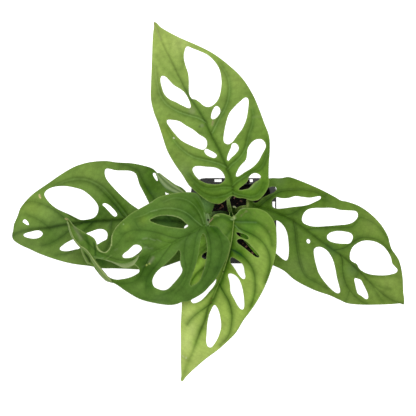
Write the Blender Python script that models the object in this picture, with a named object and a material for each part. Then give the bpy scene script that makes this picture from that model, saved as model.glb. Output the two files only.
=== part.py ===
"""A young Swiss cheese vine with five holed leaves in a square nursery pot.

Metres, +Z up, origin at the middle of the pot's flat underside.
The leaf tables hold the blades as they look from above, in millimetres at the level of the pot's rim.
"""
import math

import bmesh
import bpy
import numpy as np
from mathutils import Vector
from mathutils.geometry import delaunay_2d_cdt

MM = 0.001
FIT_GAP = 0.3

# Square nursery pot with a flat rim
POT_WIDTH = 90.0
POT_HEIGHT = 95.0
RIM_REACH = 5.6
RIM_THICK = 1.4
RIM_LIP_DROP = 4.0
RIM_LIP_THICK = 1.1
WALL = 1.1
BASE_THICK = 1.8
BASE_WIDTH = 62.0
RIM_CHAMFER = 0.5
RIM_CORNER = 15.0
BASE_CORNER = 12.5
TOP_CORNER = 10.0
CORNER_STEPS = 6
SLOT_LENGTH = 7.4
SLOT_WIDTH = 2.7
SLOT_SPREAD = 16.4
SLOT_INSET = 2.75
DRAIN_RADIUS = 4.0
DRAIN_SPREAD = 18.0
DRAIN_SIDES = 16
CUT_PAST = 2.0

# Soil filling the pot
SOIL_LEVEL = 85.0
SOIL_STEPS = 12
SOIL_BUMP = 1.6
SOIL_SHOULDER = 3.0
SOIL_SPARE = 12.0
STEM_HOLE_GAP = 0.9

# Short stem that carries every leaf
STEM_PLAN = (-3.0, 4.4)
STEM_FOOT = 60.0
STEM_RADIUS = 3.0
STEM_SWELL = [(STEM_FOOT, 0.6), (66, 1.05), (76, 1.05), (88, 1.05), (94, 1.0), (98, 1.08), (102, 0.98),
              (106, 1.04), (110, 0.96), (114, 1.0), (118, 0.96), (122, 0.8), (123, 0.45)]
STEM_SIDES = 14

# Stalk of a leaf: girth and groove depth along its length, from the stem to the blade
STALK_SIDES = 12
STALK_STEPS = 17
STALK_FOOT = 1.25
STALK_GIRTH = [(0, STALK_FOOT), (0.45, 0.9), (0.72, 0.9), (0.78, 1.1), (0.86, 1.15), (0.94, 0.95), (1, 0.45)]
STALK_GROOVE = [(0, 0), (0.1, 0.08), (0.2, 0.5), (0.55, 0.45), (0.62, 0.16), (1, 0.1)]
GROOVE_SPREAD = 0.55
GROOVE_LEAN = 0.35
STALK_ENDS = [(5.0, 2.0), (14.0, 1.2)]

# Viewing point above the plant: a raised blade is drawn in along the sight line to it
EYE = (-27.0, 13.4, 1295.0)

# Blade
BLADE_THICK = 0.8
EDGE_STEP = 4.6
INNER_STEP = 9.5
ROW_SHARE = 0.87
EDGE_CLEAR = 0.45
RIB_HALF = 2.0
RIB_DEPTH = 1.7
RIB_CLEAR = 0.9
RIB_STEP = 7.6
RIB_THIN = 0.12
CREASE_DEPTH = 1.6
CREASE_REACH = 6.0
RIPPLE_REACH = 35.0
RIPPLE_SHIFT = 0.9
SPLINE_STEPS = 12

LEAVES = {
    "leaf_back": dict(
        base=(-0.68, 28.1), tip=(-83.3, 209.1),
        rise=[(-20, 181), (0, 186), (25, 190), (60, 193), (100, 189), (150, 174), (199, 151)],
        droop=0.0042, wave=(1.3, 52.0, 0.4),
        midrib=[(0, -2), (10, -4.2), (20, -5.2), (35, -6), (50, -6), (65, -5.5), (80, -4.5), (95, -3),
                (105, -2), (112, -0.9), (120, -0.5), (135, 0.3), (150, 0.6), (163, 1.3), (175, 2.1),
                (186, 1.8), (199, 0)],
        outline=[(-1.6, 6.5), (-3.2, 12), (-3, 18), (0, 23.2), (4, 27), (10.7, 31), (19.5, 35.1),
                 (28, 38.4), (40, 40), (55, 42.8), (70, 44), (85, 42.5), (100, 40.8), (113, 40),
                 (127, 37), (140, 31), (155, 23.5), (170, 16), (185, 8.5), (195, 2.6), (199.3, 0),
                 (191, -4), (181, -11), (170, -20), (159, -30), (144, -42), (126, -52), (107, -59.5),
                 (87, -62.5), (70, -62.2), (54, -61), (40, -60), (27, -55), (12, -47), (1, -41.8),
                 (-5.3, -39.5), (-10.2, -35), (-13.7, -30), (-16.2, -24.3), (-16.3, -19.8), (-13.7, -14),
                 (-9.5, -9.6), (-5.4, -2.7), (-1.6, 0.8), (-0.8, 3.4)],
        holes=[
            [(94, -15), (97, -11), (102, -8.5), (107, -5.5), (109.5, -2.2), (114, -1.6), (120, -3.7),
             (127, -7), (135, -9.8), (145, -11), (153, -13), (159, -17), (161.3, -20.5), (157, -25),
             (152, -30), (145, -36), (136, -40), (126, -41.5), (115, -39), (106, -34.5), (98, -28),
             (94.2, -21)],
            [(101.2, 4), (103, 1.9), (110, 1.1), (118, 1.9), (124, 4.8), (130, 9), (137, 11.5),
             (142, 13.5), (144, 17), (140, 20), (133, 21.5), (126, 22), (119, 19.5), (113, 14.5),
             (106, 9)],
            [(55.5, 9), (57, 4.5), (62, 2), (66, 2.5), (72, 6.5), (79, 10), (86, 15), (93, 19.5),
             (97, 25), (99.5, 30.5), (97, 32), (90, 31), (82, 29), (74, 26), (66, 20), (59, 13.5)],
            [(42.8, 0), (44.5, -1.5), (48, 0), (52, 3), (55, 6), (54, 8.5), (50, 8.5), (46, 6),
             (43, 2.7)],
            [(15.8, 5), (17.5, 1.5), (22, 0.2), (28, 1.5), (33, 5.5), (38, 14), (41.5, 20), (43, 25),
             (41.3, 28), (37, 28.5), (32, 27.5), (28.3, 26), (25.2, 23.8), (21.9, 20.7), (19.2, 16.7),
             (16.7, 12), (15.4, 8)],
            [(80, -15), (81.5, -12.5), (84, -13), (88, -16), (91, -20), (91.5, -22.5), (89, -24.5),
             (85, -24), (82, -21)],
            [(49.6, -18), (51, -15.5), (54, -14.2), (58, -15.5), (65, -20), (73, -26), (79, -32),
             (83, -40), (86, -49), (87, -54), (85, -56), (81, -55), (74, -51), (66, -45.5), (59, -38),
             (54, -29), (50.5, -23)],
            [(34, -10), (36, -9.5), (41, -13.5), (45, -18), (48.3, -21), (47.5, -24.5), (44, -26),
             (40.5, -25), (37.5, -20), (35.5, -14)],
            [(14.6, -12.5), (16, -10.8), (20, -14), (24, -20), (27, -27), (32, -31), (37, -34), (41, -40),
             (42, -46), (40, -51), (36, -53), (31, -52), (26, -46), (20, -38), (17, -30), (15.8, -21)],
            [(0.5, -9), (2.3, -7.6), (4, -14), (6, -19.5), (9, -22.5), (10.8, -26.5), (10.3, -30.5),
             (7.5, -33.5), (4.5, -34), (2.3, -31.5), (1.8, -27), (0.5, -22.5), (-1.5, -17.5),
             (-0.6, -13)],
        ],
        stalk=[(-3.4, 10.8, 108), (-4.9, 16.0, 124), (-5.7, 21.3, 148), (-4.6, 25.2, 170)],
        stalk_radius=1.8,
    ),
    "leaf_left": dict(
        base=(-27.0, 5.5), tip=(-233.3, -18.2),
        rise=[(-20, 152), (0, 158), (30, 164), (60, 168), (120, 165), (170, 152), (208, 138)],
        droop=0.0036, wave=(1.6, 60.0, 1.6),
        midrib=[(0, 0.5), (12, 2.5), (25, 2.5), (45, -0.5), (65, -3), (85, -5), (100, -5.8), (115, -6.5),
                (135, -7), (155, -6.2), (175, -6.6), (190, -5), (200, -2), (207, 0)],
        outline=[(-3, 1.5), (-8, 5), (-12, 12), (-12, 21), (-8, 30), (3, 37), (18, 41.5), (34, 44),
                 (45, 46.5), (52, 48), (65, 49), (79, 48), (90, 46.2), (105, 44), (117, 42.5),
                 (130, 38.6), (148, 34), (165, 27.5), (182, 19), (190, 14), (197, 10), (202, 6.5),
                 (206.5, 2), (207.3, -3), (205.5, -8), (204, -14), (200.5, -20), (198, -25), (195.5, -30),
                 (192, -34), (186, -39.5), (179, -44.5), (165, -52), (150, -60), (137, -66), (128, -68.6),
                 (118, -70), (107, -70), (98, -69), (90, -66.8), (72, -63.5), (57, -58.2), (52, -55.5),
                 (49, -52), (47.2, -49.3), (43, -45), (37, -40.5), (30, -36), (24.5, -32.6), (21, -29),
                 (17, -23.5), (12, -23), (5, -28), (-3, -27), (-8, -20), (-8, -11), (-5.3, -5),
                 (-3.2, -1)],
        holes=[
            [(113.8, -20), (116, -14.5), (120, -11.5), (127, -10.3), (134, -11), (139, -14), (145, -18),
             (152, -22), (158, -26), (163, -31), (167, -37), (168.5, -42), (166, -45.5), (160, -48),
             (152, -48.5), (144, -47.5), (136, -45), (128, -41.5), (122, -36), (116.5, -29), (114, -24)],
            [(95, -11.5), (97, -10), (99.5, -11.5), (103, -16), (107, -21.5), (109, -24), (106.5, -25.3),
             (102.5, -23), (98.5, -18.5), (95.5, -14)],
            [(60, -18.5), (62, -25), (65, -33), (68, -41), (69.5, -49), (71, -53), (76, -56), (83, -57.2),
             (91, -58.3), (97, -60.5), (101, -61), (102.7, -58), (102.5, -53), (100.5, -48), (95, -40),
             (88, -31), (80, -22), (75, -17.5), (71, -14.5), (65, -13), (61, -14.5)],
            [(48.6, -42.3), (50.5, -44), (52.5, -48.5), (52.5, -50.5), (50.5, -51), (49.2, -48.9),
             (48.6, -45.5)],
            [(37.5, -27), (40.3, -28.3), (42, -29.3), (41, -25.5), (38, -20), (35, -15), (33, -16),
             (34.5, -21)],
            [(175, -1.5), (176, 1), (180, 3), (185, 3.2), (190, 2), (194, 0.2), (195.3, -2), (192, -3.6),
             (187, -4.3), (182, -5), (178, -4.4)],
            [(188.3, -12), (190.5, -12), (193.5, -14.5), (194.5, -16), (192.5, -18), (190, -16.5)],
            [(137.5, 18.3), (144, 19.6), (151, 20.3), (157, 19.3), (159, 17), (155, 13.5), (149, 10.5),
             (143, 8.7), (138.5, 9), (137, 13)],
            [(107.5, 9), (109, 12.5), (114, 14.5), (119, 16.8), (124, 16.5), (129, 13.5), (131.5, 9),
             (130, 4.6), (125, 3), (119, 1.5), (114, 1.2), (109.5, 3), (107.5, 6)],
            [(16, 10), (20, 7), (24, 7.4), (26.5, 10), (25, 13), (19, 14)],
            [(99, 28), (96, 21), (88, 14), (80, 11), (72, 12.5), (70, 19), (73, 27), (81, 33), (91, 36),
             (98, 34)],
        ],
        stalk=[(-8.9, 4.5, 99), (-12.8, 6.5, 113), (-18.6, 8.1, 131), (-23.8, 7.3, 147)],
        stalk_radius=1.8,
    ),
    "leaf_right": dict(
        base=(18.26, 14.4), tip=(179.6, -88.2),
        rise=[(-20, 156), (0, 160), (25, 166), (60, 170), (100, 167), (150, 152), (191, 134)],
        droop=0.0040, wave=(1.7, 57.0, 2.6),
        midrib=[(0, 0.6), (10, 6), (20, 9), (30, 10.2), (50, 10.3), (70, 10), (90, 9.8), (100, 9),
                (110, 8), (120, 6.5), (130, 4.5), (140, 2.5), (150, 0.5), (160, -1.5), (170, -2.8),
                (180, -2.5), (190, 0)],
        outline=[(-8.5, 4.6), (-8.5, 11.4), (-5, 20.6), (-3, 29.3), (0, 35.8), (10, 42.5), (15, 47), (19, 49),
                 (33, 52), (52, 55), (70, 56.5), (76, 56.7), (82, 59), (95, 62), (110, 61.5), (125, 58),
                 (138, 51.5), (144, 46), (149, 42), (155, 39.5), (162, 36), (173, 25), (183, 11),
                 (190.8, 0), (187, -1.5), (181, -6), (168, -15), (153, -24.5), (140, -31), (130, -32.6),
                 (120, -34), (110, -36.5), (100, -38.5), (80, -40), (65, -38), (52, -39.4), (42, -40.6),
                 (34.2, -40), (25.2, -37.6), (15.9, -34.8), (7.5, -31.4), (-1, -25), (-6, -17), (-7, -9),
                 (-5.5, -2.5), (-6.5, 1)],
        holes=[
            [(-1, 6.2), (1.2, 6), (3.5, 9), (5, 15), (8.5, 20.5), (12, 26), (12.5, 30), (10.5, 31.5),
             (7, 30), (3, 24), (0, 16), (-1.5, 9.5)],
            [(17, 23), (22, 25), (28, 29), (33, 34.5), (40, 38), (47, 41.5), (52, 46), (55.5, 48.7),
             (57, 47), (54, 41), (50, 35), (45, 30), (38, 24.5), (31, 18.5), (25, 14), (21, 12.4),
             (17, 14), (15, 18)],
            [(50.5, 24), (52, 30), (57, 35), (64, 39.5), (70, 43.5), (75, 46), (80, 47.5), (86, 50.5),
             (92, 54), (96, 55.5), (99, 54), (100.5, 50), (99, 44), (95, 39), (88, 33.5), (80, 27.5),
             (72, 21.5), (64, 17), (56, 15.5), (52.5, 17.5)],
            [(84, 20), (86, 23.5), (91, 28), (98, 31.5), (103, 33), (106.5, 32), (108.5, 28), (108, 23.5),
             (104, 20.5), (98, 17), (91, 14.5), (86.5, 14.5), (84, 17)],
            [(113, 22), (115, 28), (119, 33.5), (125, 37.5), (132, 39.8), (140, 39.8), (147, 37.5),
             (153, 34), (157, 30), (161, 28.5), (165.5, 27), (166, 24), (163, 20), (158, 15.5),
             (150, 10.5), (142, 7), (135, 6), (130, 7), (126, 9.3), (122, 8.8), (118, 9.5), (115, 13),
             (113.5, 17)],
            [(29, 1.5), (33, 3), (38, 2.2), (43, 0), (48, -4), (53, -10), (58, -17), (61.5, -24),
             (61.5, -27.5), (58, -28.2), (52, -27.5), (46, -26), (40, -20), (34, -12), (29, -4)],
            [(68, 2.6), (69, 4), (71, 3.7), (72.5, 1.6), (71.5, 0.1), (69, 0.6)],
            [(80, -2), (81, 1.5), (85, 4), (90, 4.5), (96, 3), (103, -1), (110, -7.5), (117, -15),
             (123, -20.5), (127, -25), (126, -27.5), (121, -28), (113, -26.5), (104, -23.5), (97, -20),
             (90, -14), (84, -8)],
            [(132.3, -5), (135, -3.5), (139, -2.8), (143, -5), (148, -8), (153, -11.5), (155.5, -15),
             (154, -16.8), (149, -16.5), (144, -16.5), (140, -13.5), (136, -9.5)],
        ],
        stalk=[(0.9, 8.8, 103), (4.0, 11.8, 118), (8.0, 14.0, 136), (12.6, 14.6, 150)],
        stalk_radius=1.8,
    ),
    "leaf_front": dict(
        base=(-28.05, -0.3), tip=(-176.5, 1.8),
        rise=[(-20, 219), (0, 222), (25, 226), (60, 226), (90, 219), (120, 208), (150, 196)],
        droop=0.0033, wave=(1.5, 64.0, 0.9),
        midrib=[(0, 3.2), (13.5, 10.7), (23, 16), (33.5, 22), (49, 30), (59.5, 35.5), (69, 40), (80, 43),
                (92, 43), (104, 39), (115, 33.5), (125, 26), (135, 16), (143, 7), (149, 0.5)],
        outline=[(-3.2, 4.4), (-10.6, 5.2), (-17, 12.4), (-22.4, 18), (-24.6, 24), (-23.9, 30.7),
                 (-20.1, 41.5), (-15.5, 50.9), (-10.3, 60.9), (-4.1, 68), (3, 75.5), (12.5, 81.5),
                 (19, 84.8), (25, 85.6), (31, 88), (39, 89), (55, 87), (70, 83), (85, 74.5), (96, 67.3),
                 (101, 66), (105, 64.8), (108, 62.4), (112, 58.4), (116, 53.4), (119.5, 49), (124, 46.5),
                 (128.5, 41.5), (131.3, 36), (132.9, 30), (135, 25.7), (138.5, 22), (141, 18), (144, 11),
                 (145.8, 5.5), (147.5, 1.5), (150, -0.8), (147, -1), (143.6, 2.6), (140, 7), (133, 11.3),
                 (127, 14.9), (122, 17.4), (118.4, 20), (116.2, 24), (114.8, 28.3), (112, 32),
                 (108.6, 34.2), (105, 33.4), (102.2, 29.8), (100.6, 24.8), (100.2, 18), (98, 12), (94, 6),
                 (87, -1), (80, -6.8), (68, -13.8), (60, -18.5), (52, -24), (43.5, -27), (35.6, -28.8),
                 (24.6, -30), (15, -29.8), (10.9, -28.4), (6.6, -22.5), (3.4, -15.5), (1.2, -9.5),
                 (-0.6, -4), (-0.8, 0.5)],
        holes=[
            [(20, 5), (21, 6.7), (24, 8), (31, 7.5), (40, 6.5), (50, 4.5), (57, 2), (60, 0), (57, -2),
             (51, -4.5), (44, -5.2), (36, -4.5), (28, -2), (23, 2)],
            [(68, 31), (70, 35), (75, 38), (82, 40), (87, 40), (88.5, 38), (87, 35.5), (83, 32.5),
             (79, 28.5), (76, 26.2), (72, 26.2), (69, 28)],
            [(70.4, 54), (72, 56), (76, 58.5), (82, 61), (88, 62.3), (94, 63), (99, 62), (103, 60),
             (106, 56.6), (110, 51.8), (114, 46.6), (116.7, 43), (117, 41.3), (113, 41.5), (108, 42.5),
             (103, 43.7), (98, 45.2), (93, 47.2), (88, 50), (84, 51), (80, 50.2), (77, 48), (75, 47.6),
             (73, 49.2), (71, 51.5)],
            [(27.8, 42), (26.6, 48), (25.3, 51), (26, 55), (30, 61), (35, 67), (40, 72), (45, 73.5),
             (51, 72), (55, 69.5), (56.5, 65), (56, 61), (53, 55.4), (49, 51.2), (44, 46.8), (38, 41),
             (33, 35.6), (29.8, 31.2), (28.2, 32), (27.6, 36)],
            [(3.6, 13.4), (1.4, 18), (0, 25), (-0.4, 32), (0.4, 40), (2, 48), (4, 55), (6, 61), (9, 65),
             (13, 67.5), (16.2, 68.3), (17, 65), (15, 58), (12.5, 51), (10, 42), (8, 33), (7, 24),
             (5.5, 16)],
        ],
        stalk=[(-7.0, 6.9, 117), (-9.6, 8.0, 133), (-14.0, 8.7, 152), (-18.6, 8.2, 174),
               (-22.6, 7.0, 196), (-26.0, 4.4, 211)],
        stalk_radius=1.7,
    ),
    "leaf_bottom": dict(
        base=(0.37, 1.8), tip=(-55.4, -168.7),
        rise=[(-20, 190), (0, 193), (25, 197), (60, 197), (100, 190), (140, 175), (180, 155)],
        droop=0.0042, wave=(1.4, 55.0, 2.1),
        midrib=[(0, 0.8), (10, 2), (25, 4.4), (38, 6.3), (54, 6.7), (70, 5.8), (86, 5), (100, 3),
                (110, 1.8), (130, 1), (146, 0.4), (165, 0.6), (179, 0.4)],
        outline=[(-6.4, 0.8), (-11.5, 2.9), (-14.5, 7), (-15.9, 11.4), (-18.3, 21.4), (-16.6, 32.2),
                 (-8.4, 42.6), (6, 49.3), (22.4, 53.3), (42.9, 53.9), (59.7, 52.7), (76.8, 49.5),
                 (90, 45.5), (98, 42.6), (112, 39.5), (120, 36), (135, 27.5), (150, 17), (166, 7.5),
                 (174, 3.5), (179.5, 0.6), (174, -1.5), (160, -6.5), (140, -13), (122, -19), (105, -23.5),
                 (90, -28.5), (70, -32.6), (50, -34), (30, -32.6), (17, -29.4), (9.2, -24.7), (4, -22),
                 (0.9, -19.6), (-1.8, -13.2), (-2, -6), (-1.6, -2.6)],
        holes=[
            [(12.5, 6.8), (11.7, 12.5), (12, 17), (14.2, 21), (16.2, 20), (16, 14), (15.4, 10.3),
             (14, 7.3)],
            [(20.5, 10), (18.3, 11.5), (17.4, 15), (19, 21), (22.1, 27.2), (25.5, 33), (29.4, 37.8),
             (30.8, 35), (29, 29), (26.7, 23.1), (24.5, 17), (23, 12)],
            [(39, 10.5), (40, 17), (42, 22.5), (45, 25.5), (50, 28), (55, 30.5), (57, 29), (55, 24),
             (51, 19), (47, 14), (45, 11), (42, 9.6)],
            [(55.5, 15), (56, 20), (59, 25), (65, 30), (72, 34), (80, 37.5), (86, 39), (88, 37.5),
             (86, 33), (80, 26.5), (74, 20.5), (68, 18), (63, 15.5), (59, 12.8), (57, 12.5)],
            [(92.5, 8.6), (94, 12), (98, 15.5), (104, 19), (111, 22), (118, 23), (126, 22.5), (132, 21),
             (136, 19), (136, 15.5), (132, 12.5), (125, 10.5), (118, 8.7), (110, 7), (103, 6.5),
             (97, 7.1)],
            [(66, 1.6), (70, 2.4), (76, 1), (82, -1.5), (88, -4), (93, -7), (96.5, -11), (97.5, -14),
             (95, -16.6), (88, -14), (80, -10), (72, -5), (66, -1)],
            [(41.5, -16), (43, -13.5), (47, -13), (49.5, -16), (48.5, -20), (45, -19.6)],
        ],
        stalk=[(-1.9, -1.7, 113), (-1.7, -2.4, 135), (-0.9, -1.9, 160), (-0.3, -0.5, 181)],
        stalk_radius=2.0,
    ),
}


def clear_scene():
    for item in list(bpy.data.objects):
        bpy.data.objects.remove(item, do_unlink=True)


def material(name, colour, roughness):
    skin = bpy.data.materials.new(name)
    skin.use_nodes = True
    shader = skin.node_tree.nodes["Principled BSDF"]
    shader.inputs["Base Color"].default_value = (*colour, 1.0)
    shader.inputs["Roughness"].default_value = roughness
    shader.inputs["Metallic"].default_value = 0.0
    return skin


def closed_spline(points, step):
    """Even points on a smooth closed line through the given points."""
    p = np.array(points, float)
    count = len(p)
    fine = []
    for i in range(count):
        a, b, c, d = p[i - 1], p[i], p[(i + 1) % count], p[(i + 2) % count]
        reach = np.linalg.norm(c - b)
        before = (c - a) / max(np.linalg.norm(c - a), 1e-9) * reach
        after = (d - b) / max(np.linalg.norm(d - b), 1e-9) * reach
        for t in np.linspace(0, 1, SPLINE_STEPS, endpoint=False):
            square = t * t
            cube = square * t
            share = 3 * square - 2 * cube
            bend = (cube - 2 * square + t) * before + (cube - square) * after
            fine.append((1 - share) * b + share * c + bend)
    fine = np.array(fine)
    lengths = np.linalg.norm(np.roll(fine, -1, axis=0) - fine, axis=1)
    along = np.concatenate([[0.0], np.cumsum(lengths)])
    wanted = np.linspace(0, along[-1], max(6, int(round(along[-1] / step))), endpoint=False)
    ring = np.vstack([fine, fine[:1]])
    return np.column_stack([np.interp(wanted, along, ring[:, k]) for k in (0, 1)])


def inside(points, ring):
    """True for each point that lies inside the ring."""
    x, y = points[:, 0][:, None], points[:, 1][:, None]
    ax, ay = ring[:, 0][None, :], ring[:, 1][None, :]
    bx, by = np.roll(ring[:, 0], -1)[None, :], np.roll(ring[:, 1], -1)[None, :]
    straddles = (ay > y) != (by > y)
    rise = np.where(by == ay, 1.0, by - ay)
    crossing = (bx - ax) * (y - ay) / rise + ax
    return (np.sum(straddles & (x < crossing), axis=1) % 2) == 1


def distance_to(points, line, closed):
    """Shortest distance from each point to a line of straight pieces."""
    a = line if closed else line[:-1]
    b = np.roll(line, -1, axis=0) if closed else line[1:]
    best = np.full(len(points), 1e9)
    for start, end in zip(a, b):
        run = end - start
        t = np.clip(((points - start) @ run) / max(run @ run, 1e-12), 0, 1)
        best = np.minimum(best, np.linalg.norm(points - start - t[:, None] * run, axis=1))
    return best


def lift(seen, z):
    """Points seen at the level of the rim, moved along their sight lines to the heights z."""
    eye = np.array(EYE[:2])
    share = (EYE[2] - z) / (EYE[2] - POT_HEIGHT)
    return np.column_stack([eye + (seen - eye) * share[:, None], z])


class Blade:
    """One leaf blade: its plan in leaf coordinates and its place in space."""

    def __init__(self, leaf):
        self.leaf = leaf
        self.base = np.array(leaf["base"])
        reach = np.array(leaf["tip"]) - self.base
        self.length = np.linalg.norm(reach)
        self.along = reach / self.length
        self.across = np.array([-self.along[1], self.along[0]])
        self.rib = np.array(leaf["midrib"], float)
        rise = np.array(leaf["rise"], float)
        self.rise_fit = np.polyfit(rise[:, 0], rise[:, 1], 4)

    def height(self, uv):
        """Height of the blade: a fitted rise, a droop to both sides, ripples and a crease at the midrib."""
        u, v = uv[:, 0], uv[:, 1]
        rib = np.interp(u, self.rib[:, 0], self.rib[:, 1])
        off = v - rib
        swing, length, phase = self.leaf["wave"]
        turn = 2 * math.pi * u / length + phase + RIPPLE_SHIFT * np.sign(off)
        ripple = swing * np.sin(turn) * np.minimum(1, (off / RIPPLE_REACH) ** 2)
        crease = CREASE_DEPTH * (1 - np.exp(-np.abs(off) / CREASE_REACH))
        return np.polyval(self.rise_fit, u) - self.leaf["droop"] * off ** 2 + ripple + crease

    def place(self, uv):
        """Leaf coordinates to millimetres in space."""
        return lift(self.base + uv[:, :1] * self.along + uv[:, 1:] * self.across, self.height(uv))

    def normals(self, uv):
        """Upward unit normals of the blade at leaf coordinates."""
        nudge = 0.4
        du = self.place(uv + [nudge, 0]) - self.place(uv - [nudge, 0])
        dv = self.place(uv + [0, nudge]) - self.place(uv - [0, nudge])
        n = np.cross(du, dv)
        return n / np.linalg.norm(n, axis=1)[:, None]

    def flat_mesh(self):
        """Points and triangles of the blade with its holes left out, in leaf coordinates."""
        rings = [closed_spline(self.leaf["outline"], EDGE_STEP)]
        rings += [closed_spline(hole, EDGE_STEP) for hole in self.leaf["holes"]]
        rim = np.vstack(rings)
        low, high = rim.min(axis=0), rim.max(axis=0)
        rows = []
        for j, v in enumerate(np.arange(low[1], high[1], INNER_STEP * ROW_SHARE)):
            shift = 0.5 * INNER_STEP * (j % 2)
            rows += [(u + shift, v) for u in np.arange(low[0], high[0], INNER_STEP)]
        spots = np.array(rows)
        along = np.arange(3, self.length - 4, RIB_STEP)
        rib_line = np.column_stack([along, np.interp(along, self.rib[:, 0], self.rib[:, 1])])
        side = np.array([0, RIB_HALF])
        ribs = np.vstack([rib_line, rib_line + side, rib_line - side])
        keep = distance_to(spots, rib_line, False) > RIB_HALF + EDGE_CLEAR * INNER_STEP * 0.8
        spots = np.vstack([spots[keep], ribs])
        ok = inside(spots, rings[0])
        for ring in rings[1:]:
            ok &= ~inside(spots, ring)
        for ring in rings:
            near = distance_to(spots, ring, True)
            limit = np.where(np.arange(len(spots)) < keep.sum(), EDGE_CLEAR * INNER_STEP, RIB_CLEAR)
            ok &= near > limit
        spots = spots[ok]
        verts = [Vector(p) for p in np.vstack([rim, spots])]
        edges = []
        start = 0
        for ring in rings:
            n = len(ring)
            edges += [(start + i, start + (i + 1) % n) for i in range(n)]
            start += n
        flat, _, faces, _, _, _ = delaunay_2d_cdt(verts, edges, [], 0, 1e-5)
        uv = np.array([(p.x, p.y) for p in flat])
        tris = np.array([f for f in faces if len(f) == 3])
        mid = uv[tris].mean(axis=1)
        good = inside(mid, rings[0])
        for ring in rings[1:]:
            good &= ~inside(mid, ring)
        return uv, tris[good]

    def solid(self, name):
        """Closed blade with the same triangles on both faces and a ridge under the midrib."""
        uv, tris = self.flat_mesh()
        a, b, c = (uv[tris[:, k]] for k in range(3))
        turn = np.cross(b - a, c - a)
        tris[turn < 0] = tris[turn < 0][:, ::-1]
        place, normal = self.place(uv), self.normals(uv)
        fade = np.clip(1 - uv[:, 0] / self.length, RIB_THIN, 1)
        rib = np.interp(uv[:, 0], self.rib[:, 0], self.rib[:, 1])
        ridge = RIB_DEPTH * fade * np.clip(1 - np.abs(uv[:, 1] - rib) / RIB_HALF, 0, 1)
        top = place + normal * BLADE_THICK / 2
        under = place - normal * (BLADE_THICK / 2 + ridge)[:, None]
        count = len(uv)
        sides = [(int(t[i]), int(t[(i + 1) % 3])) for t in tris for i in range(3)]
        known = set(sides)
        rim = [side for side in sides if side[::-1] not in known]
        faces = [tuple(map(int, t)) for t in tris]
        faces += [tuple(int(i) + count for i in t[::-1]) for t in tris]
        for i, j in rim:
            faces.append((i, i + count, j + count))
            faces.append((i, j + count, j))
        return mesh_object(name, np.vstack([top, under]), faces)


def mesh_object(name, points, faces):
    """Closed mesh object from millimetres."""
    mesh = bpy.data.meshes.new(name)
    mesh.from_pydata([tuple(p) for p in np.asarray(points) * MM], [], faces)
    mesh.validate()
    body = bmesh.new()
    body.from_mesh(mesh)
    loose = [v for v in body.verts if not v.link_faces]
    bmesh.ops.delete(body, geom=loose, context="VERTS")
    bmesh.ops.recalc_face_normals(body, faces=body.faces)
    body.to_mesh(mesh)
    body.free()
    item = bpy.data.objects.new(name, mesh)
    bpy.context.scene.collection.objects.link(item)
    return item


def open_spline(points, count):
    """Even points on a smooth line through the given points."""
    p = np.array(points, float)
    q = np.vstack([2 * p[0] - p[1], p, 2 * p[-1] - p[-2]])
    fine = []
    for i in range(1, len(q) - 2):
        for t in np.linspace(0, 1, SPLINE_STEPS, endpoint=False):
            fine.append(0.5 * (2 * q[i] + (q[i + 1] - q[i - 1]) * t
                               + (2 * q[i - 1] - 5 * q[i] + 4 * q[i + 1] - q[i + 2]) * t * t
                               + (3 * q[i] - q[i - 1] - 3 * q[i + 1] + q[i + 2]) * t ** 3))
    fine = np.array(fine + [p[-1]])
    along = np.concatenate([[0.0], np.cumsum(np.linalg.norm(np.diff(fine, axis=0), axis=1))])
    wanted = np.linspace(0, along[-1], count)
    return np.column_stack([np.interp(wanted, along, fine[:, k]) for k in range(p.shape[1])])


def sweep(name, path, radii, grooves, inward, sides):
    """Closed rod along a path; a groove of the given depth runs along the side that faces inward."""
    rows = []
    count = len(path)
    for i, point in enumerate(path):
        ahead = path[min(i + 1, count - 1)] - path[max(i - 1, 0)]
        ahead = ahead / np.linalg.norm(ahead)
        face = inward - ahead * (inward @ ahead)
        face = face / np.linalg.norm(face)
        other = np.cross(ahead, face)
        for k in range(sides):
            turn = 2 * math.pi * k / sides
            away = (turn + math.pi) % (2 * math.pi) - math.pi
            r = radii[i] * (1 - grooves[i] * math.exp(-(away / GROOVE_SPREAD) ** 2))
            rows.append(point + r * (math.cos(turn) * face + math.sin(turn) * other))
    faces = []
    for i in range(count - 1):
        for k in range(sides):
            j = (k + 1) % sides
            a, b = i * sides + k, i * sides + j
            faces.append((a, b, b + sides, a + sides))
    rows += [path[0], path[-1]]
    low, high = len(rows) - 2, len(rows) - 1
    top = (count - 1) * sides
    for k in range(sides):
        j = (k + 1) % sides
        faces.append((low, j, k))
        faces.append((high, top + k, top + j))
    return mesh_object(name, rows, faces)


def boolean(target, tool, operation):
    step = target.modifiers.new(operation.lower(), "BOOLEAN")
    step.operation = operation
    step.solver = "EXACT"
    step.object = tool
    graph = bpy.context.evaluated_depsgraph_get()
    graph.update()
    old = target.data
    target_mesh = bpy.data.meshes.new_from_object(target.evaluated_get(graph))
    target.modifiers.clear()
    target.data = target_mesh
    bpy.data.meshes.remove(old)
    target_mesh.name = target.name
    bpy.data.objects.remove(tool, do_unlink=True)


def rounded_square(width, corner, z):
    """Corner points of a square with rounded corners, in order round it."""
    half = width / 2 - corner
    points = []
    for quarter in range(4):
        cx = half * (1 if quarter in (0, 3) else -1)
        cy = half * (1 if quarter in (0, 1) else -1)
        for k in range(CORNER_STEPS + 1):
            turn = math.pi / 2 * (quarter + k / CORNER_STEPS)
            points.append((cx + corner * math.cos(turn), cy + corner * math.sin(turn), z))
    return points


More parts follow.
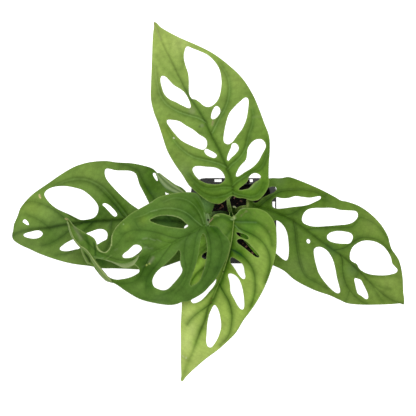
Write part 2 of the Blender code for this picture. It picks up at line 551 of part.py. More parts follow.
def loft(name, rings):
    """Closed body through rings of equal count, capped at both ends."""
    n = len(rings[0])
    points = [p for ring in rings for p in ring]
    faces = []
    for i in range(len(rings) - 1):
        for k in range(n):
            j = (k + 1) % n
            faces.append((i * n + k, i * n + j, (i + 1) * n + j, (i + 1) * n + k))
    faces.append(tuple(range(n))[::-1])
    faces.append(tuple((len(rings) - 1) * n + k for k in range(n)))
    return mesh_object(name, points, faces)


def box(name, centre, size):
    x, y, z = (s / 2 for s in size)
    rows = [(centre[0] + a * x, centre[1] + b * y, centre[2] + c * z)
            for c in (-1, 1) for a, b in ((-1, -1), (1, -1), (1, 1), (-1, 1))]
    faces = [(3, 2, 1, 0), (4, 5, 6, 7), (0, 1, 5, 4), (1, 2, 6, 5), (2, 3, 7, 6), (3, 0, 4, 7)]
    return mesh_object(name, rows, faces)


def join(name, items):
    """One mesh object that holds the faces of several that do not touch."""
    body = bmesh.new()
    for item in items:
        body.from_mesh(item.data)
        bpy.data.objects.remove(item, do_unlink=True)
    mesh = bpy.data.meshes.new(name)
    body.to_mesh(mesh)
    body.free()
    item = bpy.data.objects.new(name, mesh)
    bpy.context.scene.collection.objects.link(item)
    return item


def circle(centre, radius, sides):
    turns = [2 * math.pi * k / sides for k in range(sides)]
    return [(centre[0] + radius * math.cos(turn), centre[1] + radius * math.sin(turn)) for turn in turns]


def round_bar(name, centre, radius, sides, low, high):
    """Upright rod between two heights."""
    return loft(name, [[(x, y, z) for x, y in circle(centre, radius, sides)] for z in (low, high)])


def wall_width(z):
    """Outside width of the tapered wall at a height."""
    top = POT_WIDTH - 2 * RIM_REACH
    return BASE_WIDTH + (top - BASE_WIDTH) * z / POT_HEIGHT


def wall_corner(z):
    """Outside corner radius of the tapered wall at a height."""
    return BASE_CORNER + (TOP_CORNER - BASE_CORNER) * z / POT_HEIGHT


def pot():
    """Thin tapered pot with a flat rim, a lip under it, grip slots and drain holes."""
    inner_top = wall_width(POT_HEIGHT) - 2 * WALL
    inner_corner = TOP_CORNER - WALL
    under_rim = POT_HEIGHT - RIM_THICK
    lip_foot = POT_HEIGHT - RIM_LIP_DROP
    lip_width = POT_WIDTH - 2 * RIM_LIP_THICK
    lip_corner = RIM_CORNER - RIM_LIP_THICK
    edge = RIM_CHAMFER
    body = loft("pot", [
        rounded_square(BASE_WIDTH - 2, BASE_CORNER - 1, 0),
        rounded_square(BASE_WIDTH, BASE_CORNER, 1.0),
        rounded_square(wall_width(under_rim), TOP_CORNER, under_rim),
        rounded_square(lip_width, lip_corner, under_rim),
        rounded_square(lip_width, lip_corner, lip_foot),
        rounded_square(POT_WIDTH, RIM_CORNER, lip_foot),
        rounded_square(POT_WIDTH, RIM_CORNER, POT_HEIGHT - edge),
        rounded_square(POT_WIDTH - 2 * edge, RIM_CORNER - edge, POT_HEIGHT),
        rounded_square(inner_top + 2 * edge, inner_corner + edge, POT_HEIGHT),
        rounded_square(inner_top, inner_corner, POT_HEIGHT - edge),
        rounded_square(wall_width(BASE_THICK) - 2 * WALL, BASE_CORNER - WALL, BASE_THICK),
    ])
    boolean(body, join("pot_cutters", slots() + drains()), "DIFFERENCE")
    return body


def slots():
    """Cutters for the grip slots, two in each side of the rim."""
    depth = 2 * RIM_THICK + 2 * CUT_PAST
    away = POT_WIDTH / 2 - SLOT_INSET
    cutters = []
    for side in (-away, away):
        for place in (-SLOT_SPREAD, SLOT_SPREAD):
            cutters.append(box("slot", (place, side, POT_HEIGHT), (SLOT_LENGTH, SLOT_WIDTH, depth)))
            cutters.append(box("slot", (side, place, POT_HEIGHT), (SLOT_WIDTH, SLOT_LENGTH, depth)))
    return cutters


def drains():
    """Cutters for the four drain holes in the floor of the pot."""
    low, high = -CUT_PAST, BASE_THICK + CUT_PAST
    places = [(x, y) for x in (-DRAIN_SPREAD, DRAIN_SPREAD) for y in (-DRAIN_SPREAD, DRAIN_SPREAD)]
    return [round_bar("drain", place, DRAIN_RADIUS, DRAIN_SIDES, low, high) for place in places]


def soil_height(x, y):
    """Gently uneven top of the soil."""
    return SOIL_LEVEL + SOIL_BUMP * (0.5 * math.sin(0.16 * x + 1.0) * math.cos(0.13 * y - 0.4)
                                     + 0.3 * math.sin(0.31 * y + 0.11 * x))


def soil():
    """Filling of the pot with an uneven top and a plain hole for the stem."""
    inset = WALL + FIT_GAP
    body = loft("soil", [
        rounded_square(wall_width(z) - 2 * inset, wall_corner(z) - inset, z)
        for z in (BASE_THICK + FIT_GAP, SOIL_LEVEL, SOIL_LEVEL + SOIL_SHOULDER)
    ])
    grid = np.linspace(-POT_WIDTH / 2, POT_WIDTH / 2, SOIL_STEPS)
    rows = [(x, y, soil_height(x, y)) for y in grid for x in grid]
    rows += [(x, y, SOIL_LEVEL + SOIL_SPARE) for y in grid for x in grid]
    n = SOIL_STEPS
    faces = []
    for j in range(n - 1):
        for i in range(n - 1):
            a = j * n + i
            faces.append((a, a + n, a + n + 1, a + 1))
            b = a + n * n
            faces.append((b, b + 1, b + n + 1, b + n))
    edge = list(range(n)) + [j * n + n - 1 for j in range(1, n)]
    edge += [(n - 1) * n + i for i in range(n - 2, -1, -1)] + [j * n for j in range(n - 2, 0, -1)]
    for k, a in enumerate(edge):
        b = edge[(k + 1) % len(edge)]
        faces.append((a, b, b + n * n, a + n * n))
    boolean(body, mesh_object("above", rows, faces), "DIFFERENCE")
    low, high = STEM_FOOT - FIT_GAP, SOIL_LEVEL + SOIL_SPARE
    hole = round_bar("hole", STEM_PLAN, STEM_RADIUS + STEM_HOLE_GAP, STEM_SIDES, low, high)
    boolean(body, hole, "DIFFERENCE")
    return body


def stem():
    """Short upright vine stem with a swelling at each leaf."""
    path = np.array([(STEM_PLAN[0], STEM_PLAN[1], z) for z, _ in STEM_SWELL])
    radii = [STEM_RADIUS * swell for _, swell in STEM_SWELL]
    return sweep("stem", path, radii, [0] * len(path), np.array([1.0, 0, 0]), STEM_SIDES)


def seat(near, reach):
    """Foot of a stalk of the given radius, standing just clear of the stem on the side of the given point."""
    axis = np.array(STEM_PLAN)
    away = near[:2] - axis
    girth = STEM_RADIUS * np.interp(near[2], *np.array(STEM_SWELL).T)
    return np.append(axis + away / np.linalg.norm(away) * (girth + FIT_GAP + reach), near[2])


def leaf(name):
    """Blade and its stalk in one piece."""
    data = LEAVES[name]
    blade = Blade(data)
    item = blade.solid(name)
    under = [(u, np.interp(u, blade.rib[:, 0], blade.rib[:, 1])) for u, _ in STALK_ENDS]
    ends = blade.place(np.array(under)) - [(0, 0, sink) for _, sink in STALK_ENDS]
    seen = np.array(data["stalk"], float)
    way = lift(seen[:, :2], seen[:, 2])
    way[0] = seat(way[0], data["stalk_radius"] * STALK_FOOT)
    path = open_spline(np.vstack([way, ends]), STALK_STEPS)
    share = np.linspace(0, 1, STALK_STEPS)
    radii = data["stalk_radius"] * np.interp(share, *np.array(STALK_GIRTH).T)
    grooves = np.interp(share, *np.array(STALK_GROOVE).T)
    inward = np.array([STEM_PLAN[0] - path[0][0], STEM_PLAN[1] - path[0][1], GROOVE_LEAN])
    stalk = sweep("stalk", path, radii, grooves, inward / np.linalg.norm(inward), STALK_SIDES)
    boolean(item, stalk, "UNION")
    return item


def smooth(item, limit):
    mesh = item.data
    mesh.polygons.foreach_set("use_smooth", [True] * len(mesh.polygons))
    mesh.set_sharp_from_angle(angle=math.radians(limit))


def main():
    clear_scene()
    parts = {
        "pot": (pot(), (0.012, 0.012, 0.014), 0.55),
        "soil": (soil(), (0.016, 0.010, 0.007), 0.95),
        "stem": (stem(), (0.12, 0.20, 0.04), 0.5),
    }
    greens = {
        "leaf_back": (0.13, 0.25, 0.03),
        "leaf_left": (0.09, 0.20, 0.03),
        "leaf_right": (0.11, 0.22, 0.035),
        "leaf_front": (0.07, 0.16, 0.03),
        "leaf_bottom": (0.16, 0.29, 0.035),
    }
    for name in LEAVES:
        parts[name] = (leaf(name), greens[name], 0.42)
    for name, (item, colour, roughness) in parts.items():
        item.data.materials.clear()
        item.data.materials.append(material(name + "_skin", colour, roughness))
        smooth(item, 40)


main()
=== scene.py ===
"""Looks of a young Swiss cheese vine: fine holed blades with veins, stalks, crumbly soil and a black pot.

Millimetres until a piece is built.  Pixels are of the 416 x 416 picture, where the pot is seen from above.
"""
import math
import random

import bpy
import numpy as np
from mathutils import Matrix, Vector
from mathutils.geometry import delaunay_2d_cdt


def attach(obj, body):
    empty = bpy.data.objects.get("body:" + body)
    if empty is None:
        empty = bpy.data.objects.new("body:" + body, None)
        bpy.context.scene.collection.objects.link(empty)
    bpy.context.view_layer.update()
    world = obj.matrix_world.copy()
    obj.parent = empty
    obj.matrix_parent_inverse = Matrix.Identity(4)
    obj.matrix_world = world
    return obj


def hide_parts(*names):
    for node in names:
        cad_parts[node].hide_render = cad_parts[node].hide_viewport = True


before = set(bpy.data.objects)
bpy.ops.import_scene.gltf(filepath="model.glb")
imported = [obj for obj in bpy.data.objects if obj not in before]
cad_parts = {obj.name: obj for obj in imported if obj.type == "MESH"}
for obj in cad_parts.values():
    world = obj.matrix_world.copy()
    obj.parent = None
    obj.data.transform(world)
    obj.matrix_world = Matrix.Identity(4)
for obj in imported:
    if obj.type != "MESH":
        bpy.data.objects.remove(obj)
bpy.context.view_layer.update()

MM = 0.001
PICTURE = 416
PIXEL = 1.0526
POT_MIDDLE = (233.65, 220.7)
EYE = (-27.0, 13.4, 1295.0)

# Sizes that the parts of the frame have
POT_WIDTH = 90.0
POT_HEIGHT = 95.0
RIM_REACH = 5.6
WALL = 1.1
BASE_WIDTH = 62.0
TOP_CORNER = 10.0
SOIL_LEVEL = 85.0
SOIL_BUMP = 1.6
STEM_PLAN = (-3.0, 4.4)
STEM_RADIUS = 3.0
STEM_SWELL = [(60, 0.6), (66, 1.05), (76, 1.05), (88, 1.05), (94, 1.0), (98, 1.08), (102, 0.98),
    (106, 1.04), (110, 0.96), (114, 1.0), (118, 0.96), (122, 0.8), (123, 0.45)]
STALK_FOOT = 1.25
STALK_GIRTH = [(0, STALK_FOOT), (0.45, 0.9), (0.72, 0.9), (0.78, 1.1), (0.86, 1.15), (0.94, 0.95), (1, 0.45)]
STALK_GROOVE = [(0, 0), (0.1, 0.08), (0.2, 0.5), (0.55, 0.45), (0.62, 0.16), (1, 0.1)]
STALK_ENDS = [(4.0, 3.4), (13.0, 2.9)]
FIT_GAP = 0.3

# Blade mesh and its relief
BLADE_THICK = 0.55
EDGE_STEP = 0.9
INNER_STEP = 1.25
VEIN_ROWS = (0.0, 0.42, 0.85, 1.35, 1.9, 2.5)
VEIN_STEP = 0.9
VEIN_GAP = 0.34
RIB_DEPTH = 1.6
CREASE_DEPTH = 1.6
CREASE_REACH = 6.0
RIPPLE_REACH = 35.0
RIPPLE_SHIFT = 0.9
QUILT_DEPTH = 0.7
QUILT_REACH = 3.5
SPLINE_STEPS = 12
FEWEST_SPOTS = 6
VEIN_SPOTS = 40
STROKE_SPOTS = 24
ROW_SHARE = 0.87
EDGE_CLEAR = 0.4
MERGE_GAP = 1e-5
VEIN_FADE = 0.6
GROOVE_DEPTH = 0.2
GROOVE_REACH = 0.75
RIB_GROOVE_DEPTH = 0.6
RIB_GROOVE_FADE = 0.7
RIB_GROOVE_REACH = 1.1
LUMP_HEIGHT = 0.12
LUMP_SCALE = 7.0
RIB_FADE = 0.85
RIB_WIDTH = 1.3
EDGE_SHARE = 0.55
THIN_REACH = 1.5

# Strips, stalks and stem: how many points they have along and round, and their shape
STRIP_LONG = 60
STRIP_WIDE = 9
STRIP_THICK = 0.35
STALK_RINGS = 70
STALK_SIDES = 20
STALK_LEAN = 0.35
GROOVE_ARC = 0.55
STEM_RINGS = 90
STEM_SIDES = 24

# Waves that the random fields are made of, and limits of what is reckoned with
NOISE_WAVES = 9
NOISE_SPREAD = (0.6, 1.7)
TINY = 1e-12
FAR = 1e9

# Soil: its long and short waves, the lumps of its surface, and how loose crumbs lie on it
SOIL_LONG_WAVE = (0.5, 0.16, 1.0, 0.13, -0.4)
SOIL_SHORT_WAVE = (0.3, 0.31, 0.11)
BED_STEP = 0.8
BED_FLOOR = 3.0
BED_LUMPS = [(0.7, 9.0, "bed"), (0.35, 3.2, "lumps")]
BED_SINK = 0.3
SOIL_TINT = (26, 20, 17)
SOIL_MOTTLE = (0.45, 2.5)
CRUMB_SEED = 11
CRUMB_COUNT = 2600
CRUMB_FIELD = 36
CRUMB_WALL_GAP = 3
CRUMB_CORNER = 6.0
CRUMB_STEM_GAP = 5.0
CRUMB_LIFT = (-0.1, 0.7)
CRUMB_TILT = 0.5
CRUMB_DRAW = (0.6, 1.15)
BARK_EVERY = 13
# Kinds of loose pieces: length, shares of it across and upward, tone, and the shares of red, green and blue
LOOSE_BARK = dict(long=(1.2, 3.2), wide=(0.35, 0.7), high=(0.2, 0.45), tone=(52, 96), cast=(1, 0.74, 0.62))
LOOSE_SOIL = dict(long=(0.35, 1.1), wide=(0.6, 1.0), high=(0.5, 0.9), tone=(16, 44), cast=(1, 0.84, 0.74))
BARK_LIFT = 1.4
BARK_SHAPE = (1, 0.55, 0.35)
RIM_CRUMB_LIFT = 0.2
RIM_CRUMB_SHAPE = (1, 0.9, 0.4)
RIM_CRUMB_TURN = 0.3

# Surfaces: roughness, shine, size of the grain, and how strong its colour and its relief are
LEAF_TOP = dict(roughness=0.5, specular=0.06, net=0.035)
LEAF_UNDER = dict(roughness=0.6, specular=0.2, net=0.05)
STALK_SURFACE = dict(roughness=0.7, specular=0.03, scale=500.0, speckle=0.08, relief=0.2)
STEM_SURFACE = dict(roughness=0.5, specular=0.3, scale=500.0, speckle=0.12, relief=0.4)
SOIL_SURFACE = dict(roughness=0.9, specular=0.2, scale=900.0, speckle=0.5, relief=0.9)
CRUMB_SURFACE = dict(roughness=0.85, specular=0.2, scale=1500.0, speckle=0.35, relief=0.8)
GRAIN_RANGE = (0.3, 0.7)
GRAIN_DETAIL = 4.0
GRAIN_RELIEF = 0.0004
VEINLET_SCALE = 210.0
VEINLET_WIDTH = 0.12
VEINLET_STRENGTH = 0.5
VEINLET_RELIEF = 0.0003
LEAF_GRAIN_SCALE = 900.0
SHINE_SCALE = 60.0
SHINE_SPREAD = 0.06
POT_SHINE = (0.55, 0.5)
DUST_SCALE = 60.0
DUST_DETAIL = 6.0
DUST_STOPS = (0.35, 0.75)
DUST_TINTS = ((14, 14, 15), (24, 23, 24))
DUST_GAIN = 2.4
DUST_ROUGHNESS = (0.45, 0.65)
POT_GRAIN_SCALE = 1500.0
POT_GRAIN_STRENGTH = 0.25
POT_GRAIN_RELIEF = 0.0002
SMOOTH_ANGLE = 50
BED_ANGLE = 80
CRUMB_ANGLE = 30

# Studio: floor, sky, lamps as name, place in metres, size and power, and the camera's lens
FLOOR_REACH = 6.0
FLOOR_COLOUR = (0.9, 0.9, 0.9, 1)
FLOOR_ROUGHNESS = 0.9
FLOOR_GLOW = 0.55
WHITE = (1.0, 1.0, 1.0, 1)
SKY_STRENGTH = 0.75
LAMPS = [("key", (0.15, 0.35, 1.6), 0.7, 14.0), ("fill", (-0.9, -0.5, 1.2), 1.0, 3.0)]
LAMP_AIM = (0, 0, 0.15)
SENSOR_WIDTH = 36.0
CLIP_END = 20.0

# The blades in plan, as in the part's source: leaf coordinates in millimetres at the level of the rim
LEAVES = {
    "leaf_back": dict(
        base=(-0.68, 28.1), tip=(-83.3, 209.1),
        rise=[(-20, 181), (0, 186), (25, 190), (60, 193), (100, 189), (150, 174), (199, 151)],
        droop=0.0042, wave=(1.3, 52.0, 0.4),
        midrib=[(0, -2), (10, -4.2), (20, -5.2), (35, -6), (50, -6), (65, -5.5), (80, -4.5), (95, -3),
            (105, -2), (112, -0.9), (120, -0.5), (135, 0.3), (150, 0.6), (163, 1.3), (175, 2.1), (186, 1.8),
            (199, 0)],
        outline=[(-1.6, 6.5), (-3.2, 12), (-3, 18), (0, 23.2), (4, 27), (10.7, 31), (19.5, 35.1),
            (28, 38.4), (40, 40), (55, 42.8), (70, 44), (85, 42.5), (100, 40.8), (113, 40), (127, 37),
            (140, 31), (155, 23.5), (170, 16), (185, 8.5), (195, 2.6), (199.3, 0), (191, -4), (181, -11),
            (170, -20), (159, -30), (144, -42), (126, -52), (107, -59.5), (87, -62.5), (70, -62.2),
            (54, -61), (40, -60), (27, -55), (12, -47), (1, -41.8), (-5.3, -39.5), (-10.2, -35),
            (-13.7, -30), (-16.2, -24.3), (-16.3, -19.8), (-13.7, -14), (-9.5, -9.6), (-5.4, -2.7),
            (-1.6, 0.8), (-0.8, 3.4)],
        holes=[
            [(94, -15), (97, -11), (102, -8.5), (107, -5.5), (109.5, -2.2), (114, -1.6), (120, -3.7),
                (127, -7), (135, -9.8), (145, -11), (153, -13), (159, -17), (161.3, -20.5), (157, -25),
                (152, -30), (145, -36), (136, -40), (126, -41.5), (115, -39), (106, -34.5), (98, -28),
                (94.2, -21)],
            [(101.2, 4), (103, 1.9), (110, 1.1), (118, 1.9), (124, 4.8), (130, 9), (137, 11.5), (142, 13.5),
                (144, 17), (140, 20), (133, 21.5), (126, 22), (119, 19.5), (113, 14.5), (106, 9)],
            [(55.5, 9), (57, 4.5), (62, 2), (66, 2.5), (72, 6.5), (79, 10), (86, 15), (93, 19.5), (97, 25),
                (99.5, 30.5), (97, 32), (90, 31), (82, 29), (74, 26), (66, 20), (59, 13.5)],
            [(42.8, 0), (44.5, -1.5), (48, 0), (52, 3), (55, 6), (54, 8.5), (50, 8.5), (46, 6), (43, 2.7)],
            [(15.8, 5), (17.5, 1.5), (22, 0.2), (28, 1.5), (33, 5.5), (38, 14), (41.5, 20), (43, 25),
                (41.3, 28), (37, 28.5), (32, 27.5), (28.3, 26), (25.2, 23.8), (21.9, 20.7), (19.2, 16.7),
                (16.7, 12), (15.4, 8)],
            [(80, -15), (81.5, -12.5), (84, -13), (88, -16), (91, -20), (91.5, -22.5), (89, -24.5),
                (85, -24), (82, -21)],
            [(49.6, -18), (51, -15.5), (54, -14.2), (58, -15.5), (65, -20), (73, -26), (79, -32), (83, -40),
                (86, -49), (87, -54), (85, -56), (81, -55), (74, -51), (66, -45.5), (59, -38), (54, -29),
                (50.5, -23)],
            [(34, -10), (36, -9.5), (41, -13.5), (45, -18), (48.3, -21), (47.5, -24.5), (44, -26),
                (40.5, -25), (37.5, -20), (35.5, -14)],
            [(14.6, -12.5), (16, -10.8), (20, -14), (24, -20), (27, -27), (32, -31), (37, -34), (41, -40),
                (42, -46), (40, -51), (36, -53), (31, -52), (26, -46), (20, -38), (17, -30), (15.8, -21)],
            [(0.5, -9), (2.3, -7.6), (4, -14), (6, -19.5), (9, -22.5), (10.8, -26.5), (10.3, -30.5),
                (7.5, -33.5), (4.5, -34), (2.3, -31.5), (1.8, -27), (0.5, -22.5), (-1.5, -17.5),
                (-0.6, -13)],
        ],
        stalk=[(-3.4, 10.8, 108), (-4.9, 16.0, 124), (-5.7, 21.3, 148), (-4.6, 25.2, 170)],
        stalk_radius=1.8,
    ),
    "leaf_left": dict(
        base=(-27.0, 5.5), tip=(-233.3, -18.2),
        rise=[(-20, 152), (0, 158), (30, 164), (60, 168), (120, 165), (170, 152), (208, 138)],
        droop=0.0036, wave=(1.6, 60.0, 1.6),
        midrib=[(0, 0.5), (12, 2.5), (25, 2.5), (45, -0.5), (65, -3), (85, -5), (100, -5.8), (115, -6.5),
            (135, -7), (155, -6.2), (175, -6.6), (190, -5), (200, -2), (207, 0)],
        outline=[(-3, 1.5), (-8, 5), (-12, 12), (-12, 21), (-8, 30), (3, 37), (18, 41.5), (34, 44),
            (45, 46.5), (52, 48), (65, 49), (79, 48), (90, 46.2), (105, 44), (117, 42.5), (130, 38.6),
            (148, 34), (165, 27.5), (182, 19), (190, 14), (197, 10), (202, 6.5), (206.5, 2), (207.3, -3),
            (205.5, -8), (204, -14), (200.5, -20), (198, -25), (195.5, -30), (192, -34), (186, -39.5),
            (179, -44.5), (165, -52), (150, -60), (137, -66), (128, -68.6), (118, -70), (107, -70),
            (98, -69), (90, -66.8), (72, -63.5), (57, -58.2), (52, -55.5), (49, -52), (47.2, -49.3),
            (43, -45), (37, -40.5), (30, -36), (24.5, -32.6), (21, -29), (17, -23.5), (12, -23), (5, -28),
            (-3, -27), (-8, -20), (-8, -11), (-5.3, -5), (-3.2, -1)],
        holes=[
            [(113.8, -20), (116, -14.5), (120, -11.5), (127, -10.3), (134, -11), (139, -14), (145, -18),
                (152, -22), (158, -26), (163, -31), (167, -37), (168.5, -42), (166, -45.5), (160, -48),
                (152, -48.5), (144, -47.5), (136, -45), (128, -41.5), (122, -36), (116.5, -29), (114, -24)],
            [(95, -11.5), (97, -10), (99.5, -11.5), (103, -16), (107, -21.5), (109, -24), (106.5, -25.3),
                (102.5, -23), (98.5, -18.5), (95.5, -14)],
            [(60, -18.5), (62, -25), (65, -33), (68, -41), (69.5, -49), (71, -53), (76, -56), (83, -57.2),
                (91, -58.3), (97, -60.5), (101, -61), (102.7, -58), (102.5, -53), (100.5, -48), (95, -40),
                (88, -31), (80, -22), (75, -17.5), (71, -14.5), (65, -13), (61, -14.5)],
            [(48.6, -42.3), (50.5, -44), (52.5, -48.5), (52.5, -50.5), (50.5, -51), (49.2, -48.9),
                (48.6, -45.5)],
            [(37.5, -27), (40.3, -28.3), (42, -29.3), (41, -25.5), (38, -20), (35, -15), (33, -16),
                (34.5, -21)],
            [(175, -1.5), (176, 1), (180, 3), (185, 3.2), (190, 2), (194, 0.2), (195.3, -2), (192, -3.6),
                (187, -4.3), (182, -5), (178, -4.4)],
            [(188.3, -12), (190.5, -12), (193.5, -14.5), (194.5, -16), (192.5, -18), (190, -16.5)],
            [(137.5, 18.3), (144, 19.6), (151, 20.3), (157, 19.3), (159, 17), (155, 13.5), (149, 10.5),
                (143, 8.7), (138.5, 9), (137, 13)],
            [(107.5, 9), (109, 12.5), (114, 14.5), (119, 16.8), (124, 16.5), (129, 13.5), (131.5, 9),
                (130, 4.6), (125, 3), (119, 1.5), (114, 1.2), (109.5, 3), (107.5, 6)],
            [(16, 10), (20, 7), (24, 7.4), (26.5, 10), (25, 13), (19, 14)],
            [(99, 28), (96, 21), (88, 14), (80, 11), (72, 12.5), (70, 19), (73, 27), (81, 33), (91, 36),
                (98, 34)],
        ],
        stalk=[(-8.9, 4.5, 99), (-12.8, 6.5, 113), (-18.6, 8.1, 131), (-23.8, 7.3, 147)],
        stalk_radius=1.8,
    ),
    "leaf_right": dict(
        base=(18.26, 14.4), tip=(179.6, -88.2),
        rise=[(-20, 156), (0, 160), (25, 166), (60, 170), (100, 167), (150, 152), (191, 134)],
        droop=0.0040, wave=(1.7, 57.0, 2.6),
        midrib=[(0, 0.6), (10, 6), (20, 9), (30, 10.2), (50, 10.3), (70, 10), (90, 9.8), (100, 9), (110, 8),
            (120, 6.5), (130, 4.5), (140, 2.5), (150, 0.5), (160, -1.5), (170, -2.8), (180, -2.5),
            (190, 0)],
        outline=[(-8.5, 4.6), (-8.5, 11.4), (-5, 20.6), (-3, 29.3), (0, 35.8), (10, 42.5), (15, 47),
            (19, 49), (33, 52), (52, 55), (70, 56.5), (76, 56.7), (82, 59), (95, 62), (110, 61.5),
            (125, 58), (138, 51.5), (144, 46), (149, 42), (155, 39.5), (162, 36), (173, 25), (183, 11),
            (190.8, 0), (187, -1.5), (181, -6), (168, -15), (153, -24.5), (140, -31), (130, -32.6),
            (120, -34), (110, -36.5), (100, -38.5), (80, -40), (65, -38), (52, -39.4), (42, -40.6),
            (34.2, -40), (25.2, -37.6), (15.9, -34.8), (7.5, -31.4), (-1, -25), (-6, -17), (-7, -9),
            (-5.5, -2.5), (-6.5, 1)],
        holes=[
            [(-1, 6.2), (1.2, 6), (3.5, 9), (5, 15), (8.5, 20.5), (12, 26), (12.5, 30), (10.5, 31.5),
                (7, 30), (3, 24), (0, 16), (-1.5, 9.5)],
            [(17, 23), (22, 25), (28, 29), (33, 34.5), (40, 38), (47, 41.5), (52, 46), (55.5, 48.7),
                (57, 47), (54, 41), (50, 35), (45, 30), (38, 24.5), (31, 18.5), (25, 14), (21, 12.4),
                (17, 14), (15, 18)],
            [(50.5, 24), (52, 30), (57, 35), (64, 39.5), (70, 43.5), (75, 46), (80, 47.5), (86, 50.5),
                (92, 54), (96, 55.5), (99, 54), (100.5, 50), (99, 44), (95, 39), (88, 33.5), (80, 27.5),
                (72, 21.5), (64, 17), (56, 15.5), (52.5, 17.5)],
            [(84, 20), (86, 23.5), (91, 28), (98, 31.5), (103, 33), (106.5, 32), (108.5, 28), (108, 23.5),
                (104, 20.5), (98, 17), (91, 14.5), (86.5, 14.5), (84, 17)],
            [(113, 22), (115, 28), (119, 33.5), (125, 37.5), (132, 39.8), (140, 39.8), (147, 37.5),
                (153, 34), (157, 30), (161, 28.5), (165.5, 27), (166, 24), (163, 20), (158, 15.5),
                (150, 10.5), (142, 7), (135, 6), (130, 7), (126, 9.3), (122, 8.8), (118, 9.5), (115, 13),
                (113.5, 17)],
            [(29, 1.5), (33, 3), (38, 2.2), (43, 0), (48, -4), (53, -10), (58, -17), (61.5, -24),
                (61.5, -27.5), (58, -28.2), (52, -27.5), (46, -26), (40, -20), (34, -12), (29, -4)],
            [(68, 2.6), (69, 4), (71, 3.7), (72.5, 1.6), (71.5, 0.1), (69, 0.6)],
            [(80, -2), (81, 1.5), (85, 4), (90, 4.5), (96, 3), (103, -1), (110, -7.5), (117, -15),
                (123, -20.5), (127, -25), (126, -27.5), (121, -28), (113, -26.5), (104, -23.5), (97, -20),
                (90, -14), (84, -8)],
            [(132.3, -5), (135, -3.5), (139, -2.8), (143, -5), (148, -8), (153, -11.5), (155.5, -15),
                (154, -16.8), (149, -16.5), (144, -16.5), (140, -13.5), (136, -9.5)],
        ],
        stalk=[(0.9, 8.8, 103), (4.0, 11.8, 118), (8.0, 14.0, 136), (12.6, 14.6, 150)],
        stalk_radius=1.8,
    ),
    "leaf_front": dict(
        base=(-28.05, -0.3), tip=(-176.5, 1.8),
        rise=[(-20, 219), (0, 222), (25, 226), (60, 226), (90, 219), (120, 208), (150, 196)],
        droop=0.0033, wave=(1.5, 64.0, 0.9),
        midrib=[(0, 3.2), (13.5, 10.7), (23, 16), (33.5, 22), (49, 30), (59.5, 35.5), (69, 40), (80, 43),
            (92, 43), (104, 39), (115, 33.5), (125, 26), (135, 16), (143, 7), (149, 0.5)],
        outline=[(-3.2, 4.4), (-10.6, 5.2), (-17, 12.4), (-22.4, 18), (-24.6, 24), (-23.9, 30.7),
            (-20.1, 41.5), (-15.5, 50.9), (-10.3, 60.9), (-4.1, 68), (3, 75.5), (12.5, 81.5), (19, 84.8),
            (25, 85.6), (31, 88), (39, 89), (55, 87), (70, 83), (85, 74.5), (96, 67.3), (101, 66),
            (105, 64.8), (108, 62.4), (112, 58.4), (116, 53.4), (119.5, 49), (124, 46.5), (128.5, 41.5),
            (131.3, 36), (132.9, 30), (135, 25.7), (138.5, 22), (141, 18), (144, 11), (145.8, 5.5),
            (147.5, 1.5), (150, -0.8), (147, -1), (143.6, 2.6), (140, 7), (133, 11.3), (127, 14.9),
            (122, 17.4), (118.4, 20), (116.2, 24), (114.8, 28.3), (112, 32), (108.6, 34.2), (105, 33.4),
            (102.2, 29.8), (100.6, 24.8), (100.2, 18), (98, 12), (94, 6), (87, -1), (80, -6.8), (68, -13.8),
            (60, -18.5), (52, -24), (43.5, -27), (35.6, -28.8), (24.6, -30), (15, -29.8), (10.9, -28.4),
            (6.6, -22.5), (3.4, -15.5), (1.2, -9.5), (-0.6, -4), (-0.8, 0.5)],
        holes=[
            [(20, 5), (21, 6.7), (24, 8), (31, 7.5), (40, 6.5), (50, 4.5), (57, 2), (60, 0), (57, -2),
                (51, -4.5), (44, -5.2), (36, -4.5), (28, -2), (23, 2)],
            [(68, 31), (70, 35), (75, 38), (82, 40), (87, 40), (88.5, 38), (87, 35.5), (83, 32.5),
                (79, 28.5), (76, 26.2), (72, 26.2), (69, 28)],
            [(70.4, 54), (72, 56), (76, 58.5), (82, 61), (88, 62.3), (94, 63), (99, 62), (103, 60),
                (106, 56.6), (110, 51.8), (114, 46.6), (116.7, 43), (117, 41.3), (113, 41.5), (108, 42.5),
                (103, 43.7), (98, 45.2), (93, 47.2), (88, 50), (84, 51), (80, 50.2), (77, 48), (75, 47.6),
                (73, 49.2), (71, 51.5)],
            [(27.8, 42), (26.6, 48), (25.3, 51), (26, 55), (30, 61), (35, 67), (40, 72), (45, 73.5),
                (51, 72), (55, 69.5), (56.5, 65), (56, 61), (53, 55.4), (49, 51.2), (44, 46.8), (38, 41),
                (33, 35.6), (29.8, 31.2), (28.2, 32), (27.6, 36)],
            [(3.6, 13.4), (1.4, 18), (0, 25), (-0.4, 32), (0.4, 40), (2, 48), (4, 55), (6, 61), (9, 65),
                (13, 67.5), (16.2, 68.3), (17, 65), (15, 58), (12.5, 51), (10, 42), (8, 33), (7, 24),
                (5.5, 16)],
        ],
        stalk=[(-7.0, 6.9, 117), (-9.6, 8.0, 133), (-14.0, 8.7, 152), (-18.6, 8.2, 174), (-22.6, 7.0, 196),
            (-26.0, 4.4, 211)],
        stalk_radius=1.7,
    ),
    "leaf_bottom": dict(
        base=(0.37, 1.8), tip=(-55.4, -168.7),
        rise=[(-20, 190), (0, 193), (25, 197), (60, 197), (100, 190), (140, 175), (180, 155)],
        droop=0.0042, wave=(1.4, 55.0, 2.1),
        midrib=[(0, 0.8), (10, 2), (25, 4.4), (38, 6.3), (54, 6.7), (70, 5.8), (86, 5), (100, 3),
            (110, 1.8), (130, 1), (146, 0.4), (165, 0.6), (179, 0.4)],
        outline=[(-6.4, 0.8), (-11.5, 2.9), (-14.5, 7), (-15.9, 11.4), (-18.3, 21.4), (-16.6, 32.2),
